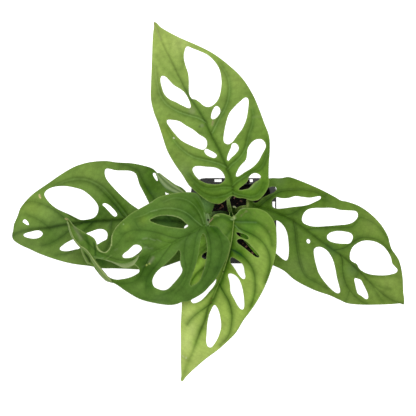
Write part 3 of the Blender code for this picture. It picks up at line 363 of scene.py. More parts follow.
            (-8.4, 42.6), (6, 49.3), (22.4, 53.3), (42.9, 53.9), (59.7, 52.7), (76.8, 49.5), (90, 45.5),
            (98, 42.6), (112, 39.5), (120, 36), (135, 27.5), (150, 17), (166, 7.5), (174, 3.5),
            (179.5, 0.6), (174, -1.5), (160, -6.5), (140, -13), (122, -19), (105, -23.5), (90, -28.5),
            (70, -32.6), (50, -34), (30, -32.6), (17, -29.4), (9.2, -24.7), (4, -22), (0.9, -19.6),
            (-1.8, -13.2), (-2, -6), (-1.6, -2.6)],
        holes=[
            [(12.5, 6.8), (11.7, 12.5), (12, 17), (14.2, 21), (16.2, 20), (16, 14), (15.4, 10.3),
                (14, 7.3)],
            [(20.5, 10), (18.3, 11.5), (17.4, 15), (19, 21), (22.1, 27.2), (25.5, 33), (29.4, 37.8),
                (30.8, 35), (29, 29), (26.7, 23.1), (24.5, 17), (23, 12)],
            [(39, 10.5), (40, 17), (42, 22.5), (45, 25.5), (50, 28), (55, 30.5), (57, 29), (55, 24),
                (51, 19), (47, 14), (45, 11), (42, 9.6)],
            [(55.5, 15), (56, 20), (59, 25), (65, 30), (72, 34), (80, 37.5), (86, 39), (88, 37.5), (86, 33),
                (80, 26.5), (74, 20.5), (68, 18), (63, 15.5), (59, 12.8), (57, 12.5)],
            [(92.5, 8.6), (94, 12), (98, 15.5), (104, 19), (111, 22), (118, 23), (126, 22.5), (132, 21),
                (136, 19), (136, 15.5), (132, 12.5), (125, 10.5), (118, 8.7), (110, 7), (103, 6.5),
                (97, 7.1)],
            [(66, 1.6), (70, 2.4), (76, 1), (82, -1.5), (88, -4), (93, -7), (96.5, -11), (97.5, -14),
                (95, -16.6), (88, -14), (80, -10), (72, -5), (66, -1)],
            [(41.5, -16), (43, -13.5), (47, -13), (49.5, -16), (48.5, -20), (45, -19.6)],
        ],
        stalk=[(-1.9, -1.7, 113), (-1.7, -2.4, 135), (-0.9, -1.9, 160), (-0.3, -0.5, 181)],
        stalk_radius=2.0,
    ),
}

# Veins as seen in the picture, in pixels: the midrib first, then the side veins, each from its root outwards
VEINS = {
    "leaf_back": [
        [(233.3, 194), (232.3, 187), (230.4, 178), (226.8, 168), (223, 159), (218.3, 148.5), (212, 136.5),
            (207.3, 126.5), (202.6, 117), (195.7, 106), (189.5, 97.3), (186.5, 91.5), (182.5, 83.5),
            (177.5, 73.5), (172.5, 63), (167, 52.5), (162.5, 43), (159, 33.8), (154.5, 22)],
        [(232.5, 188), (224, 187), (214, 188.5), (205, 188), (197, 183.5), (188, 174)],
        [(233, 191.5), (226, 195), (216, 197), (207, 195.5), (200, 191.5), (194, 186)],
        [(226.5, 167.5), (220, 164), (212, 161.5), (203, 159.5), (195, 157.5), (188, 154), (181, 148.5),
            (175, 142), (170, 134), (166, 126)],
        [(205.5, 122.5), (199, 118.5), (191, 116), (183, 113.5), (175, 110), (168, 105.5), (163, 100),
            (159.5, 93), (157.5, 85), (156, 76), (155, 66)],
        [(227.5, 169.5), (232, 164.5), (238, 159.5), (243, 153.5), (246, 147), (247.5, 140), (249.5, 132),
            (252, 125), (253, 117), (252.5, 110)],
        [(212.5, 133), (216, 126), (219.5, 118.5), (223, 112.5), (226, 106.5), (228.5, 98), (229.5, 88),
            (228.5, 79.5), (225.5, 72.5), (221, 66)],
        [(232.5, 185.5), (237, 181), (243, 177), (249, 173), (256, 170.5), (262, 166), (265.5, 158),
            (267.5, 148), (268, 140)],
        [(234, 192.5), (241, 194.5), (249, 196), (256, 195), (261, 190), (264, 183)],
        [(182, 83), (172, 75), (163, 66), (157, 56)],
        [(173, 64), (165, 56), (159, 46), (156, 38)],
        [(178, 74), (183, 64), (181, 52), (177, 42)],
        [(168, 54), (170, 44), (167, 36)],
    ],
    "leaf_left": [
        [(196, 220), (184, 222), (170, 221), (152, 220.3), (137, 219.5), (122, 219.8), (110, 220.5),
            (100, 221), (90, 221.7), (82, 222.2), (70, 223.9), (60, 225.5), (50, 227.4), (44, 228.3),
            (33, 229.3), (20, 231.8), (12.5, 236)],
        [(130, 219.5), (123, 215.7), (118.1, 208.8), (113.1, 202.8), (106.9, 196), (101.3, 190.2),
            (95.3, 185.3), (88, 182), (80, 180.8), (72, 181.4), (64, 183)],
        [(129, 219.8), (125.5, 214), (120, 207), (115, 201), (109, 194), (103, 188), (96, 183.5), (88, 180),
            (80, 178.8), (72, 179.5), (64, 182), (56, 186)],
        [(170, 219), (160, 207), (153, 197), (147, 188), (142, 179), (138, 171), (130, 166.5), (120, 164)],
        [(82, 223.5), (74, 226.5), (68.8, 231), (63, 235.7), (56.3, 240), (49.7, 243.4), (42, 245.5)],
        [(75, 224.5), (65, 218.5), (55.7, 211), (46.9, 206.2), (38.3, 202.8), (30, 201.3), (23, 204)],
        [(50, 229), (42, 222), (33, 217), (26, 214)],
        [(112, 221.5), (111, 230), (110, 240), (106, 250), (99, 258), (88, 262)],
        [(92, 223), (84, 231), (80, 238), (76, 246), (68, 253), (56, 255)],
    ],
    "leaf_right": [
        [(254, 206), (261.7, 208), (269.7, 210.4), (279.6, 214.4), (288, 218.3), (296, 223), (305, 229),
            (314, 235.8), (323.6, 242.8), (333.4, 250), (344.3, 257.5), (352.3, 265), (361, 273),
            (369.3, 281.7), (379.3, 290.8), (387.4, 297.3), (396, 302), (403.5, 304)],
        [(293, 221), (294.5, 228), (295.5, 236), (296.5, 246), (298, 256), (300, 264), (302.8, 272),
            (308, 278), (315, 281.5), (321, 285), (328, 288.5)],
        [(258, 208), (263, 203.5), (269, 198.5), (276, 193.5), (284, 191), (293, 190.5), (301, 190),
            (309, 190.8), (317, 192.8), (325, 197)],
        [(282, 215), (290.5, 214.3), (297.5, 210.5), (303, 206), (310, 202.5), (318, 200), (326, 200)],
        [(307, 229.5), (315, 228.5), (323, 227.5), (333, 227.5), (344, 227.5), (352, 226.5), (357, 221),
            (361, 217.5), (368, 220), (376, 225), (383, 232), (388, 240)],
        [(334, 250), (341, 248.8), (345.5, 247.2), (350, 244), (355, 240.5), (360, 238), (367, 237.7),
            (376, 239.2), (383.5, 244), (390, 251)],
        [(340, 254.5), (342.3, 260), (342.5, 268), (343.7, 277), (346.7, 285.3), (350.5, 291), (355, 296),
            (361, 301), (367, 304)],
        [(349.5, 290), (347.7, 296), (345.5, 301)],
        [(356, 267), (358, 272), (356.5, 277)],
        [(361, 273), (372, 275.5), (384, 276.3), (396, 276)],
        [(370, 282), (379.5, 286.5), (390, 289.5)],
        [(370, 282), (374.3, 288.5), (377.6, 295), (383, 301)],
    ],
    "leaf_front": [
        [(206.5, 224.5), (198, 229), (190, 233.3), (182, 238), (174, 242.5), (166, 246.5), (158, 250.5),
            (151, 254.5), (141, 258.3), (130, 260.3), (119, 260), (108, 256.5), (97, 251), (88, 243),
            (79, 233), (72, 225), (66, 219)],
        [(205.5, 222), (203.5, 212), (200, 204), (195.5, 197.5)],
        [(204, 223.5), (201, 215.5), (196.5, 208), (191, 202.5), (184, 199), (174, 198), (164, 201.5)],
        [(202, 225.5), (195, 220), (189, 214.5), (183, 211), (176, 208.8), (168, 208), (160, 209),
            (152, 211), (145, 214.5), (137, 217)],
        [(191, 233.5), (183, 237.2), (176, 238), (169, 236.4), (162, 234), (155, 232), (147, 230.5),
            (139.5, 230), (131, 230.6), (124, 234)],
        [(176, 242), (168, 242.5), (160, 240), (152, 239), (144, 240), (135, 240), (127, 241.5)],
        [(161, 249.5), (153, 249), (147, 246.5), (143, 243.5)],
        [(108, 256), (112, 250), (118, 243), (122, 237)],
        [(207.5, 224.5), (213, 228), (218, 234), (221, 241), (222, 250), (220, 260), (216, 271.5),
            (209, 282), (200, 291)],
        [(205.5, 227), (208.5, 235), (210.5, 244), (211, 254), (209.5, 264), (205.5, 274), (200, 283),
            (193, 291)],
        [(200, 228.5), (196.5, 236), (195, 243), (193.5, 252), (191.5, 262), (189.5, 270), (186.5, 279),
            (183, 286), (176, 293)],
        [(190, 233.5), (186, 240), (184.5, 247), (184, 255), (185, 262), (186, 270), (183, 279), (177, 287),
            (168, 293), (155, 296)],
        [(172, 243.5), (167, 250), (162, 257), (158, 263), (153, 269), (148, 276), (146, 284), (146, 292)],
        [(150, 255), (147, 261), (144, 268), (141, 275), (135, 281), (125, 284), (117, 283)],
        [(112, 283), (120, 290), (130, 295), (142, 298), (155, 300), (168, 300)],
    ],
    "leaf_bottom": [
        [(234.3, 219), (233.5, 226), (232.3, 234), (231, 242), (229.5, 250), (227.5, 258), (225, 265),
            (223, 272), (220.5, 279), (218, 285), (215.5, 291), (212.5, 298), (209.5, 304), (207.8, 308),
            (206.5, 314), (204.7, 321), (201.5, 328), (198.6, 335.5), (195.6, 343.5), (192.7, 351.5),
            (189, 360.5), (185.5, 369.5), (182, 380)],
        [(234, 227), (233.3, 233), (232.3, 242), (230.9, 250), (228.9, 258), (226.6, 265.5), (224.6, 272.5),
            (222.3, 280), (219.5, 286), (217, 291.5), (214, 298.5), (210.5, 303.5)],
        [(234.5, 221), (240, 221.5), (247, 221.5), (254, 222), (260, 224), (266, 229), (270, 236),
            (272, 245)],
        [(233.8, 224), (238, 227.5), (244, 230.7), (252, 234.3), (259.3, 239), (264.8, 245), (268.6, 252.8),
            (270, 262), (268.7, 272), (265.5, 283)],
        [(229.5, 249), (235, 251), (241, 255), (246.5, 260), (251, 266), (254, 273), (255, 281), (255, 290),
            (253.5, 298), (251, 306)],
        [(219, 283), (221.5, 288.5), (225, 294.5), (228.6, 301), (231, 309), (232, 317), (231.3, 325),
            (229.5, 333), (226, 339), (220, 345)],
        [(211.5, 303), (204, 308.5), (197, 313.5), (191, 319), (187.5, 324)],
        [(233.5, 222), (228, 219), (222, 217), (215, 219), (210, 223)],
        [(233, 228), (229, 232), (226, 236)],
        [(231, 244), (222, 244), (212, 245.5), (204, 250), (199, 256), (196, 262)],
        [(226, 263), (216, 264.5), (206, 267.5), (199, 272.5), (193.5, 279), (189, 288), (187, 297)],
        [(218, 285), (212, 290), (206, 295), (199, 300)],
    ],
}

# Colour of each blade at its base, middle and tip: beside a vein, and out between the veins
NEAR_VEIN = {
    "leaf_back": [(62, 98, 24), (84, 118, 45), (150, 172, 85)],
    "leaf_left": [(34, 60, 16), (52, 82, 28), (62, 92, 36)],
    "leaf_right": [(42, 78, 14), (55, 88, 26), (68, 99, 28)],
    "leaf_front": [(50, 84, 27), (53, 87, 25), (59, 86, 31)],
    "leaf_bottom": [(64, 98, 28), (70, 108, 30), (140, 164, 76)],
}
OFF_VEIN = {
    "leaf_back": [(96, 132, 44), (124, 151, 70), (163, 186, 96)],
    "leaf_left": [(74, 106, 40), (101, 129, 57), (102, 132, 59)],
    "leaf_right": [(80, 112, 37), (95, 124, 48), (114, 139, 60)],
    "leaf_front": [(78, 110, 44), (89, 121, 50), (89, 119, 47)],
    "leaf_bottom": [(102, 135, 50), (148, 174, 79), (174, 194, 104)],
}

# Tone of each side vein, pale above 0 and painted shade in its groove below it, and the side that its painted
# shade line lies on: 1 for left
VEIN_TONE = {
    "leaf_back": [(1.1, -1)] * 2 + [(1.6, -1)] * 2 + [(1.4, 1)] * 2 + [(1.0, -1)] * 2 + [(0.15, 0)] * 4,
    "leaf_left": [(-0.85, 0), (1.2, -1), (-0.6, 0), (-0.75, 0), (-0.6, 0), (-0.4, 0), (-0.4, 0), (-0.5, 0)],
    "leaf_right": [(-1.0, 1)] * 2 + [(-0.6, 0), (-0.6, 0), (-0.9, 0), (-1.0, 0), (-0.5, 0)] + [(-0.3, 0)] * 4,
    "leaf_front": [(0.9, 0), (1.6, 1), (1.7, 1), (-0.9, 0), (-0.4, 0), (-0.4, 0), (-0.4, 0), (-0.4, 0),
                   (-0.7, 0), (-0.5, 0), (-0.5, 0), (-0.7, 0), (-0.6, 0), (-0.4, 0)],
    "leaf_bottom": [(-1.0, 0), (-0.5, 0), (-1.0, 0), (-1.1, 0), (-1.1, 0), (-0.9, 0), (-0.3, 0), (-0.3, 0),
                    (-0.9, 0), (-1.0, 0), (-0.4, 0)],
}

# How pale the thin margin of each blade is, left and right of the midrib as seen from the base
MARGIN = {
    "leaf_back": (0.35, 0.35),
    "leaf_left": (0.1, 0.1),
    "leaf_right": (0.15, 0.15),
    "leaf_front": (0.2, 0.35),
    "leaf_bottom": (0.3, 0.35),
}

# Soft painted shadow, shade, light and sheen, with some of the blade's own uneven colour: middle and reach in
# pixels, and the change of colour
LIGHT_SHADE_TONE_PATCHES = {
    "leaf_back": [((165, 42), 16, (10, 9, 6)), ((180, 44), 9, (8, 4, 10)), ((216, 62), 9, (-16, -14, -12)),
        ((237, 82), 9, (10, 8, 5)), ((253, 97), 9, (-22, -23, -14)), ((188, 94), 8, (-14, -15, -4)),
        ((163, 96), 8, (-10, -10, -5)), ((208, 112), 9, (-12, -12, -7)), ((226, 128), 9, (-12, -15, -5)),
        ((203, 134), 9, (-15, -14, -12)), ((168, 130), 9, (9, 6, -2)), ((188, 151), 14, (9, 6, 7)),
        ((184, 172), 9, (12, 7, 20)), ((250, 141), 7, (-10, -12, -6)), ((250, 170), 7, (-10, -12, -5)),
        ((207, 178), 8, (-10, -12, -4))],
    "leaf_left": [((30, 206), 15, (26, 24, 10)), ((48, 211), 10, (16, 16, 12)),
        ((86, 172), 15, (17, 17, 9)), ((62, 180), 11, (14, 14, 8)), ((57, 227), 10, (-8, -9, -2)),
        ((72, 227), 8, (-10, -10, -7)), ((88, 222), 11, (-24, -22, -17)), ((101, 211), 9, (-24, -22, -17)),
        ((109, 199), 8, (-14, -12, -13)), ((121, 209), 10, (-24, -20, -22)),
        ((112, 221), 9, (-10, -10, -6)), ((152, 172), 9, (-20, -18, -16)),
        ((149, 190), 12, (-18, -13, -20)), ((93, 250), 10, (-20, -18, -16)),
        ((99, 263), 8, (-20, -17, -17)), ((68, 258), 10, (12, 10, 10)), ((38, 250), 10, (8, 6, 6)),
        ((20, 237), 9, (12, 9, 11)), ((166, 221), 13, (2, 12, 8)), ((206, 203), 8, (56, 70, 58)),
        ((50, 236), 9, (-10, -8, -8)), ((84, 256), 8, (-8, -8, -6)), ((104, 262), 6, (-22, -18, -12)),
        ((116, 264), 6, (-22, -20, -12))],
    "leaf_right": [((372, 223), 14, (22, 20, 15)), ((387, 280), 13, (22, 20, 16)),
        ((396, 300), 9, (12, 13, 8)), ((374, 293), 8, (12, 13, 9)), ((311, 187), 12, (13, 11, 3)),
        ((291, 188), 9, (10, 9, 4)), ((304, 266), 14, (12, 10, 14)), ((288, 265), 10, (12, 10, 12)),
        ((326, 288), 9, (10, 8, 10)), ((350, 300), 9, (12, 11, 11)), ((338, 283), 6, (12, 10, 18)),
        ((278, 221), 6, (-16, -13, -14)), ((305, 209), 6, (-16, -17, -12)), ((330, 250), 8, (-6, -4, 6)),
        ((345, 206), 8, (8, 6, 4)), ((356, 245), 8, (-9, -8, -1)), ((352, 270), 7, (-6, -6, 8)),
        ((270, 200), 6, (-12, -16, -7)), ((279, 180), 7, (12, 9, 20)), ((391, 250), 5, (-7, -7, -3)),
        ((245, 236), 5, (20, 50, 6)), ((254, 250), 7, (56, 88, 20))],
    "leaf_front": [((168, 203), 9, (12, 10, 8)), ((198, 206), 11, (-14, -13, -20)),
        ((165, 240), 11, (8, 9, 0)), ((144, 262), 9, (-18, -18, -13)), ((154, 269), 8, (-14, -15, -10)),
        ((140, 273), 9, (-15, -16, -12)), ((150, 281), 8, (-13, -12, -8)), ((104, 272), 8, (-20, -19, -18)),
        ((120, 281), 9, (-13, -12, -13)), ((176, 262), 8, (11, 11, 13)), ((160, 303), 9, (10, 8, 12)),
        ((221, 228), 8, (-22, -19, -21)), ((211, 229), 7, (-12, -11, -14)), ((222, 268), 7, (-12, -13, -5)),
        ((200, 249), 7, (7, 9, 2)), ((200, 285), 6, (8, 10, 5)), ((99, 255), 5, (-12, -10, -6)),
        ((144, 220), 5, (18, 15, 4)), ((127, 227), 4, (14, 12, 4)), ((130, 238), 5, (8, 8, 2)),
        ((142, 286), 4, (12, 12, 8)), ((150, 287), 3.5, (-12, -12, -8)), ((157, 291), 4, (10, 10, 6)),
        ((177, 287), 4, (10, 9, 6)), ((125, 257), 8, (10, 9, 8)), ((190, 217), 6, (-10, -10, -6))],
    "leaf_bottom": [((233, 242), 8, (-20, -18, -12)), ((231, 256), 9, (-22, -21, -18)),
        ((227, 270), 8, (-20, -17, -18)), ((221, 284), 8, (-28, -25, -20)),
        ((213, 301), 7, (-18, -17, -12)), ((211, 312), 6, (-17, -16, -9)), ((241, 254), 8, (-20, -14, -22)),
        ((240, 274), 5, (-12, -11, -18)), ((263, 232), 10, (17, 17, 10)), ((271, 243), 8, (13, 12, 9)),
        ((263, 259), 10, (14, 13, 10)), ((257, 283), 11, (16, 15, 11)), ((250, 312), 5, (-14, -14, -11)),
        ((188, 312), 8, (24, 21, 20)), ((187, 334), 10, (15, 13, 13)), ((189, 352), 10, (15, 14, 10)),
        ((222, 345), 7, (12, 11, 9)), ((244, 215), 10, (-22, -19, -17)), ((232, 223), 7, (-14, -13, -12)),
        ((248, 229), 7, (-12, -6, -8)), ((202, 242), 8, (24, 46, 12)), ((199, 262), 9, (30, 44, 12)),
        ((195, 279), 8, (22, 34, 8)), ((221, 226), 9, (-12, -7, -4)), ((201, 330), 5, (-18, -12, -16)),
        ((196, 342), 5, (-10, -4, -10)), ((193, 328), 6, (10, 8, 12)), ((187, 343), 7, (9, 7, 12)),
        ((206, 318), 4, (-14, -10, -10)), ((238, 250), 6, (-10, -6, -8)), ((256, 226), 6, (-8, -6, -4)),
        ((263, 250), 6, (8, 6, 6))],
}

# Small scars and specks: middle and radius in pixels, colour, and how solid
MARKS = {
    "leaf_back": [((192, 110.5), 3.6, (132, 142, 100), 0.5), ((199.9, 126.6), 1.3, (60, 84, 36), 0.6),
        ((202, 125.5), 1.9, (120, 138, 88), 0.7), ((174, 138), 0.8, (225, 228, 205), 1.0)],
    "leaf_left": [],
    "leaf_right": [],
    "leaf_front": [((146.7, 265), 0.9, (176, 190, 96), 0.8), ((149.5, 263.6), 0.8, (176, 190, 96), 0.8),
        ((123.5, 224.6), 0.6, (160, 182, 130), 0.7), ((206.5, 213), 1.0, (40, 50, 25), 0.8)],
    "leaf_bottom": [((223.3, 271.7), 1.0, (45, 60, 20), 0.9), ((211, 298), 0.9, (95, 85, 40), 0.8),
        ((211, 302), 0.9, (95, 85, 40), 0.8), ((269.5, 231.5), 1.1, (120, 134, 74), 0.5),
        ((266.5, 225.5), 1.0, (120, 134, 74), 0.4), ((254.5, 212.5), 1.0, (116, 124, 66), 0.4),
        ((246.3, 211.2), 1.1, (126, 122, 90), 0.5), ((263.5, 277), 0.9, (130, 140, 70), 0.4),
        ((241.3, 215.5), 1.0, (120, 112, 80), 0.4), ((183, 356), 0.7, (215, 220, 180), 0.7),
        ((186, 357.5), 0.7, (215, 220, 180), 0.7), ((234.3, 217.5), 1.6, (185, 200, 140), 0.8)],
}

# Painted strokes, the blades' own tips, scars and pale lines together with painted sheen, a painted
# reflection and painted shade in folds: line and half width in pixels, colour, and how solid
MARK_SHEEN_SHADE_STROKES = {
    "leaf_back": [
        ([(154, 21), (154, 24), (153.8, 28)], 0.9, (160, 150, 110), 0.7),
        ([(155.5, 27), (158, 33), (161, 40)], 0.8, (165, 172, 115), 0.5),
        ([(253, 117.5), (257, 116.5), (261, 117)], 1.6, (128, 150, 88), 0.35),
        ([(256, 128), (260, 126), (264, 127)], 1.4, (120, 146, 70), 0.35),
        ([(213, 121), (212, 125)], 0.9, (150, 134, 102), 0.7),
        # painted shade beyond the pale edge by the hole
        ([(253, 189), (256, 186), (259, 182)], 1.6, (80, 114, 58), 0.5),
        ([(250.5, 186), (252.5, 183.5), (256, 181)], 1.2, (128, 152, 74), 0.5),
        ([(248.5, 189), (251.5, 187.5), (254.5, 184), (258, 181)], 0.6, (140, 160, 106), 0.6),
    ],
    "leaf_left": [
        ([(68, 214), (72, 217), (77, 220)], 0.8, (30, 50, 15), 0.8),
        ([(39.2, 195), (40.6, 197.8)], 0.65, (250, 214, 170), 1.0),
    ],
    "leaf_right": [([(246.5, 199.5), (248, 203), (247.5, 206)], 1.2, (176, 190, 110), 0.8)],
    "leaf_front": [
        ([(62, 218), (64, 219), (67, 219.3)], 1.1, (165, 150, 105), 0.9),
        # painted sheen on the twisted tip
        ([(75, 227), (78, 233), (81, 239)], 2.4, (128, 140, 98), 0.55),
        # painted shade in two folds and in the hollow below them
        ([(86, 236), (88, 242), (89.5, 249)], 2.0, (44, 80, 18), 0.65),
        ([(94, 243), (95.3, 248), (95.6, 255)], 1.1, (32, 62, 16), 0.8),
        ([(84, 253), (87, 256), (89.5, 260), (90, 263)], 1.2, (22, 32, 14), 0.9),
        ([(94, 257), (98, 257.6), (103, 258), (106, 259)], 0.5, (116, 138, 96), 0.6),
        ([(106.5, 259), (109, 257), (112, 255)], 0.6, (128, 150, 86), 0.4),
        ([(134.5, 219), (136.5, 224), (139.5, 229)], 0.8, (60, 94, 32), 0.5),
        ([(119.5, 231), (121, 235)], 0.8, (60, 94, 32), 0.4),
        ([(134.5, 264.5), (137, 266.5), (138.8, 269.5)], 0.5, (156, 170, 114), 0.7),
        (
            [(97, 245), (98, 249), (101, 251.5), (105, 252), (108, 250.5), (110.5, 247), (111.5, 243),
                (111.5, 237), (113, 231), (116, 227), (118, 224)],
            0.55, (186, 198, 134), 0.85,
        ),
        # the next eight strokes are painted sheen in soft streaks
        ([(143, 238.7), (147, 238.2)], 1.2, (126, 144, 100), 0.45),
        ([(150, 238.6), (155, 240.4)], 0.9, (120, 140, 94), 0.4),
        ([(157, 239.2), (161, 241.6)], 0.8, (118, 138, 92), 0.35),
        ([(138, 242.5), (141, 241.5)], 1.0, (112, 134, 84), 0.3),
        ([(144, 248), (146.5, 247.2)], 1.5, (120, 140, 94), 0.45),
        ([(149, 248.4), (152.5, 248)], 1.0, (114, 134, 88), 0.35),
        ([(115, 250), (117.5, 248.7)], 0.9, (114, 134, 86), 0.4),
        ([(151, 211.5), (157, 210.3)], 0.8, (124, 146, 92), 0.45),
        ([(142, 267), (147, 264.2)], 0.8, (84, 104, 58), 0.5),
        ([(149.8, 262.5), (151.6, 260), (153.2, 257.8)], 1.9, (118, 128, 92), 0.75),
        ([(195, 192.5), (200, 198), (204, 206), (206, 212)], 1.1, (76, 110, 46), 0.8),
        (
            [(118, 224), (122, 219.5), (128, 214), (135, 209.5), (143, 206), (152, 201.5)],
            0.6, (164, 176, 126), 0.7,
        ),
        ([(166, 215.5), (172, 215.7), (178, 217), (183, 220)], 0.5, (150, 164, 116), 0.5),
        ([(204.5, 213), (206, 219), (206, 226)], 0.8, (112, 140, 82), 0.6),
        ([(211.5, 213), (210.5, 220), (209.5, 226)], 0.8, (112, 140, 82), 0.6),
    ],
    "leaf_bottom": [
        ([(231, 219), (233.5, 219.5), (236, 217.5)], 0.9, (150, 172, 112), 0.8),
        (
            [(233.7, 221), (232.5, 234), (231.1, 243), (229.4, 251), (227.2, 259), (224.8, 266),
                (222.8, 273)],
            0.6, (156, 178, 96), 0.8,
        ),
        ([(222.8, 273), (220.3, 280), (217.7, 286), (215, 292.5), (212.7, 298)], 0.45, (138, 160, 78), 0.6),
        (
            [(262, 290), (252, 306), (243, 320), (235, 333), (226, 344), (214, 354), (205, 360),
                (196, 367)],
            0.8, (100, 138, 42), 0.55,
        ),
        # painted shade along two folds of the blade
        ([(207, 243.5), (203, 247), (198.5, 250), (196, 254)], 1.0, (60, 92, 22), 0.7),
        ([(206, 265.5), (201, 269), (196, 274), (192, 280)], 1.0, (60, 92, 22), 0.7),
        ([(201, 255), (199, 260), (198, 263)], 0.8, (128, 134, 62), 0.4),
        ([(241, 216), (244, 213), (246, 211)], 0.5, (140, 126, 92), 0.3),
        ([(236.5, 214), (238.5, 211), (242, 208.5), (247, 207)], 0.7, (150, 168, 120), 0.55),
        # painted reflection along the basal vein
        ([(236, 222), (242, 222.3), (250, 222.3), (256, 222.3)], 1.2, (104, 138, 78), 0.4),
        ([(235, 225), (238, 229), (242, 232.5)], 0.8, (112, 146, 84), 0.6),
        ([(211, 216), (215, 215.3), (219, 215.8)], 0.7, (165, 185, 115), 0.6),
    ],
}

# Turned margins and flaps, and one tiny dark sheet of painted shade: both edges in pixels, how far each
# stands over the blade, and colours across
FLAPS_AND_SHADE_SHEET = {
    "leaf_front": [
        dict(
            first=[(67.5, 221), (69, 224), (70.5, 230), (72.5, 235), (74.5, 238.5), (77, 242),
                (80.5, 245.5), (84, 247.5), (87, 250), (89.5, 253), (92, 256.5), (95, 261), (98, 265),
                (101, 268.5), (104, 272.5), (107, 276), (110, 279), (112, 281.5)],
            second=[(66.6, 221.5), (67.8, 225), (69, 230.5), (71, 236), (73.4, 239.7), (76, 243.3),
                (79.3, 247), (82.6, 249.6), (86, 252.6), (89, 256), (91, 261), (93.5, 264.5), (96, 269),
                (99, 273), (102, 277), (105, 280), (108, 281.8), (111.6, 282)],
            rise=(1.2, 0.4), arch=0.5,
            tints=[(160, 174, 112), (118, 140, 78), (106, 130, 74), (150, 166, 108)],
        ),
        dict(
            first=[(80.5, 246), (80.8, 249), (82, 253), (84, 258), (86, 262), (88, 264), (90.5, 264.5)],
            second=[(82, 246.5), (82.6, 249), (84, 252.6), (86, 257), (88, 260.5), (89.6, 262.2),
                (91.5, 263)],
            rise=(0.6, 0.9), arch=0.4,
            tints=[(130, 146, 88), (104, 128, 66), (84, 110, 50)],
        ),
        dict(
            first=[(106, 259.3), (113, 261.3), (119, 262.8), (125, 262.8), (130, 261.5), (134.5, 259),
                (138.5, 255.2)],
            second=[(106, 260.5), (112, 262.5), (118, 265.5), (123, 267.7), (128, 268.2), (133, 265.5),
                (137, 260.5), (139.3, 256)],
            rise=(0.9, 0.4), arch=0.3,
            tints=[(92, 122, 58), (122, 142, 88), (132, 148, 98), (142, 158, 106)],
        ),
        dict(
            first=[(205.6, 214), (205.7, 218), (206, 222), (206.8, 225.5)],
            second=[(208.3, 213.2), (209.8, 216.5), (210.4, 220.5), (208.8, 225)],
            rise=(0.3, 0.3), arch=0.5,
            tints=[(70, 102, 44), (112, 134, 88), (84, 112, 58), (116, 136, 92), (74, 104, 46)],
        ),
        # tiny dark sheet of painted shade in the notch where the stalk meets the blade
        dict(
            first=[(207.2, 219), (207.3, 221)],
            second=[(209, 219), (208.9, 221)],
            rise=(1.1, 1.1), arch=0.1,
            tints=[(18, 22, 10), (8, 10, 4), (18, 22, 10)],
        ),
        dict(
            first=[(208.7, 222.5), (210.8, 220), (213, 217.7)],
            second=[(209.3, 222.9), (211.4, 220.5), (213.4, 218.1)],
            rise=(1.0, 1.0), arch=0.1,
            tints=[(138, 114, 90), (152, 128, 102)],
        ),
    ],
    "leaf_left": [
        dict(
            first=[(155, 172.5), (158, 179), (163, 186), (168, 190), (175, 193), (182, 194.3), (186, 194)],
            second=[(160, 173), (165, 177), (170.5, 181), (176, 185), (181, 189), (184.5, 192),
                (186.5, 194)],
            rise=(0.9, 1.3), arch=0.8,
            tints=[(84, 110, 62), (122, 146, 96), (144, 160, 114), (112, 136, 80), (62, 94, 38),
                (152, 166, 120), (124, 146, 86), (118, 142, 80)],
        ),
    ],
}

# Stem sheaths seen from above, the last one a thin strip of painted highlight: both edges in pixels, their
# heights, and colours across
SHEATHS_AND_HIGHLIGHT = [
    dict(
        first=[(229, 217.5), (229, 215), (229.6, 212.6), (230.5, 210.2)],
        second=[(234.2, 217), (233.4, 214.7), (232.2, 212.4), (231, 210.2)],
        rise=(128.5, 128.5), arch=-1.2,
        tints=[(196, 216, 136), (64, 102, 28), (28, 54, 10), (28, 54, 10), (64, 102, 28), (196, 216, 136)],
    ),
    dict(
        first=[(232.8, 206.2), (232, 209), (233, 212.5), (235, 214.5)],
        second=[(236.8, 207.8), (239, 210), (240.4, 212.5), (240, 215)],
        rise=(112, 110), arch=1.5,
        tints=[(44, 68, 24), (48, 74, 26), (52, 80, 28)],
    ),
    # thin pale strip of painted highlight along the upper edge of a sheath
    dict(
        first=[(232.8, 205.8), (234.6, 206), (236.4, 207.2)],
        second=[(232.6, 207.4), (234.3, 207.8), (236.2, 209)],
        rise=(113.5, 113), arch=0.3,
        tints=[(214, 220, 176), (196, 206, 150)],
    ),
]

# Bits of bark that show between the leaves: place in pixels, length, turn and colour
BARK = [((219.5, 203.5), 4.2, 0.4, (108, 76, 62)), ((222.5, 206), 3.4, 1.9, (112, 78, 64)),
    ((220.5, 208), 3.0, 0.9, (96, 66, 54)), ((216.5, 199.5), 2.6, 2.4, (84, 60, 50)),
    ((224.5, 198), 2.4, 0.2, (70, 50, 42)), ((234.5, 197.7), 2.6, 1.1, (150, 112, 100)),
    ((241, 201), 3.0, 2.7, (104, 74, 62)), ((237.5, 203.5), 2.2, 0.5, (76, 54, 46)),
    ((246, 246.5), 3.2, 0.6, (140, 104, 94)), ((252.5, 253), 3.4, 2.2, (146, 108, 96)),
    ((243, 243.5), 2.2, 1.2, (80, 58, 50)), ((249, 250), 2.2, 0.1, (74, 54, 46)),
    ((241, 262), 2.6, 0.8, (60, 44, 38)), ((236, 258), 2.2, 1.9, (84, 62, 54))]
RIM_CRUMBS = [((244.9, 181.2), 4.2, (26, 20, 17)), ((248.3, 181), 3.5, (34, 22, 18)),
    ((248, 182.9), 2.4, (22, 17, 15)), ((247.9, 181.3), 1.3, (86, 46, 36)),
    ((249.4, 183.4), 1.3, (150, 150, 148)), ((250.4, 182.8), 0.8, (196, 196, 194))]

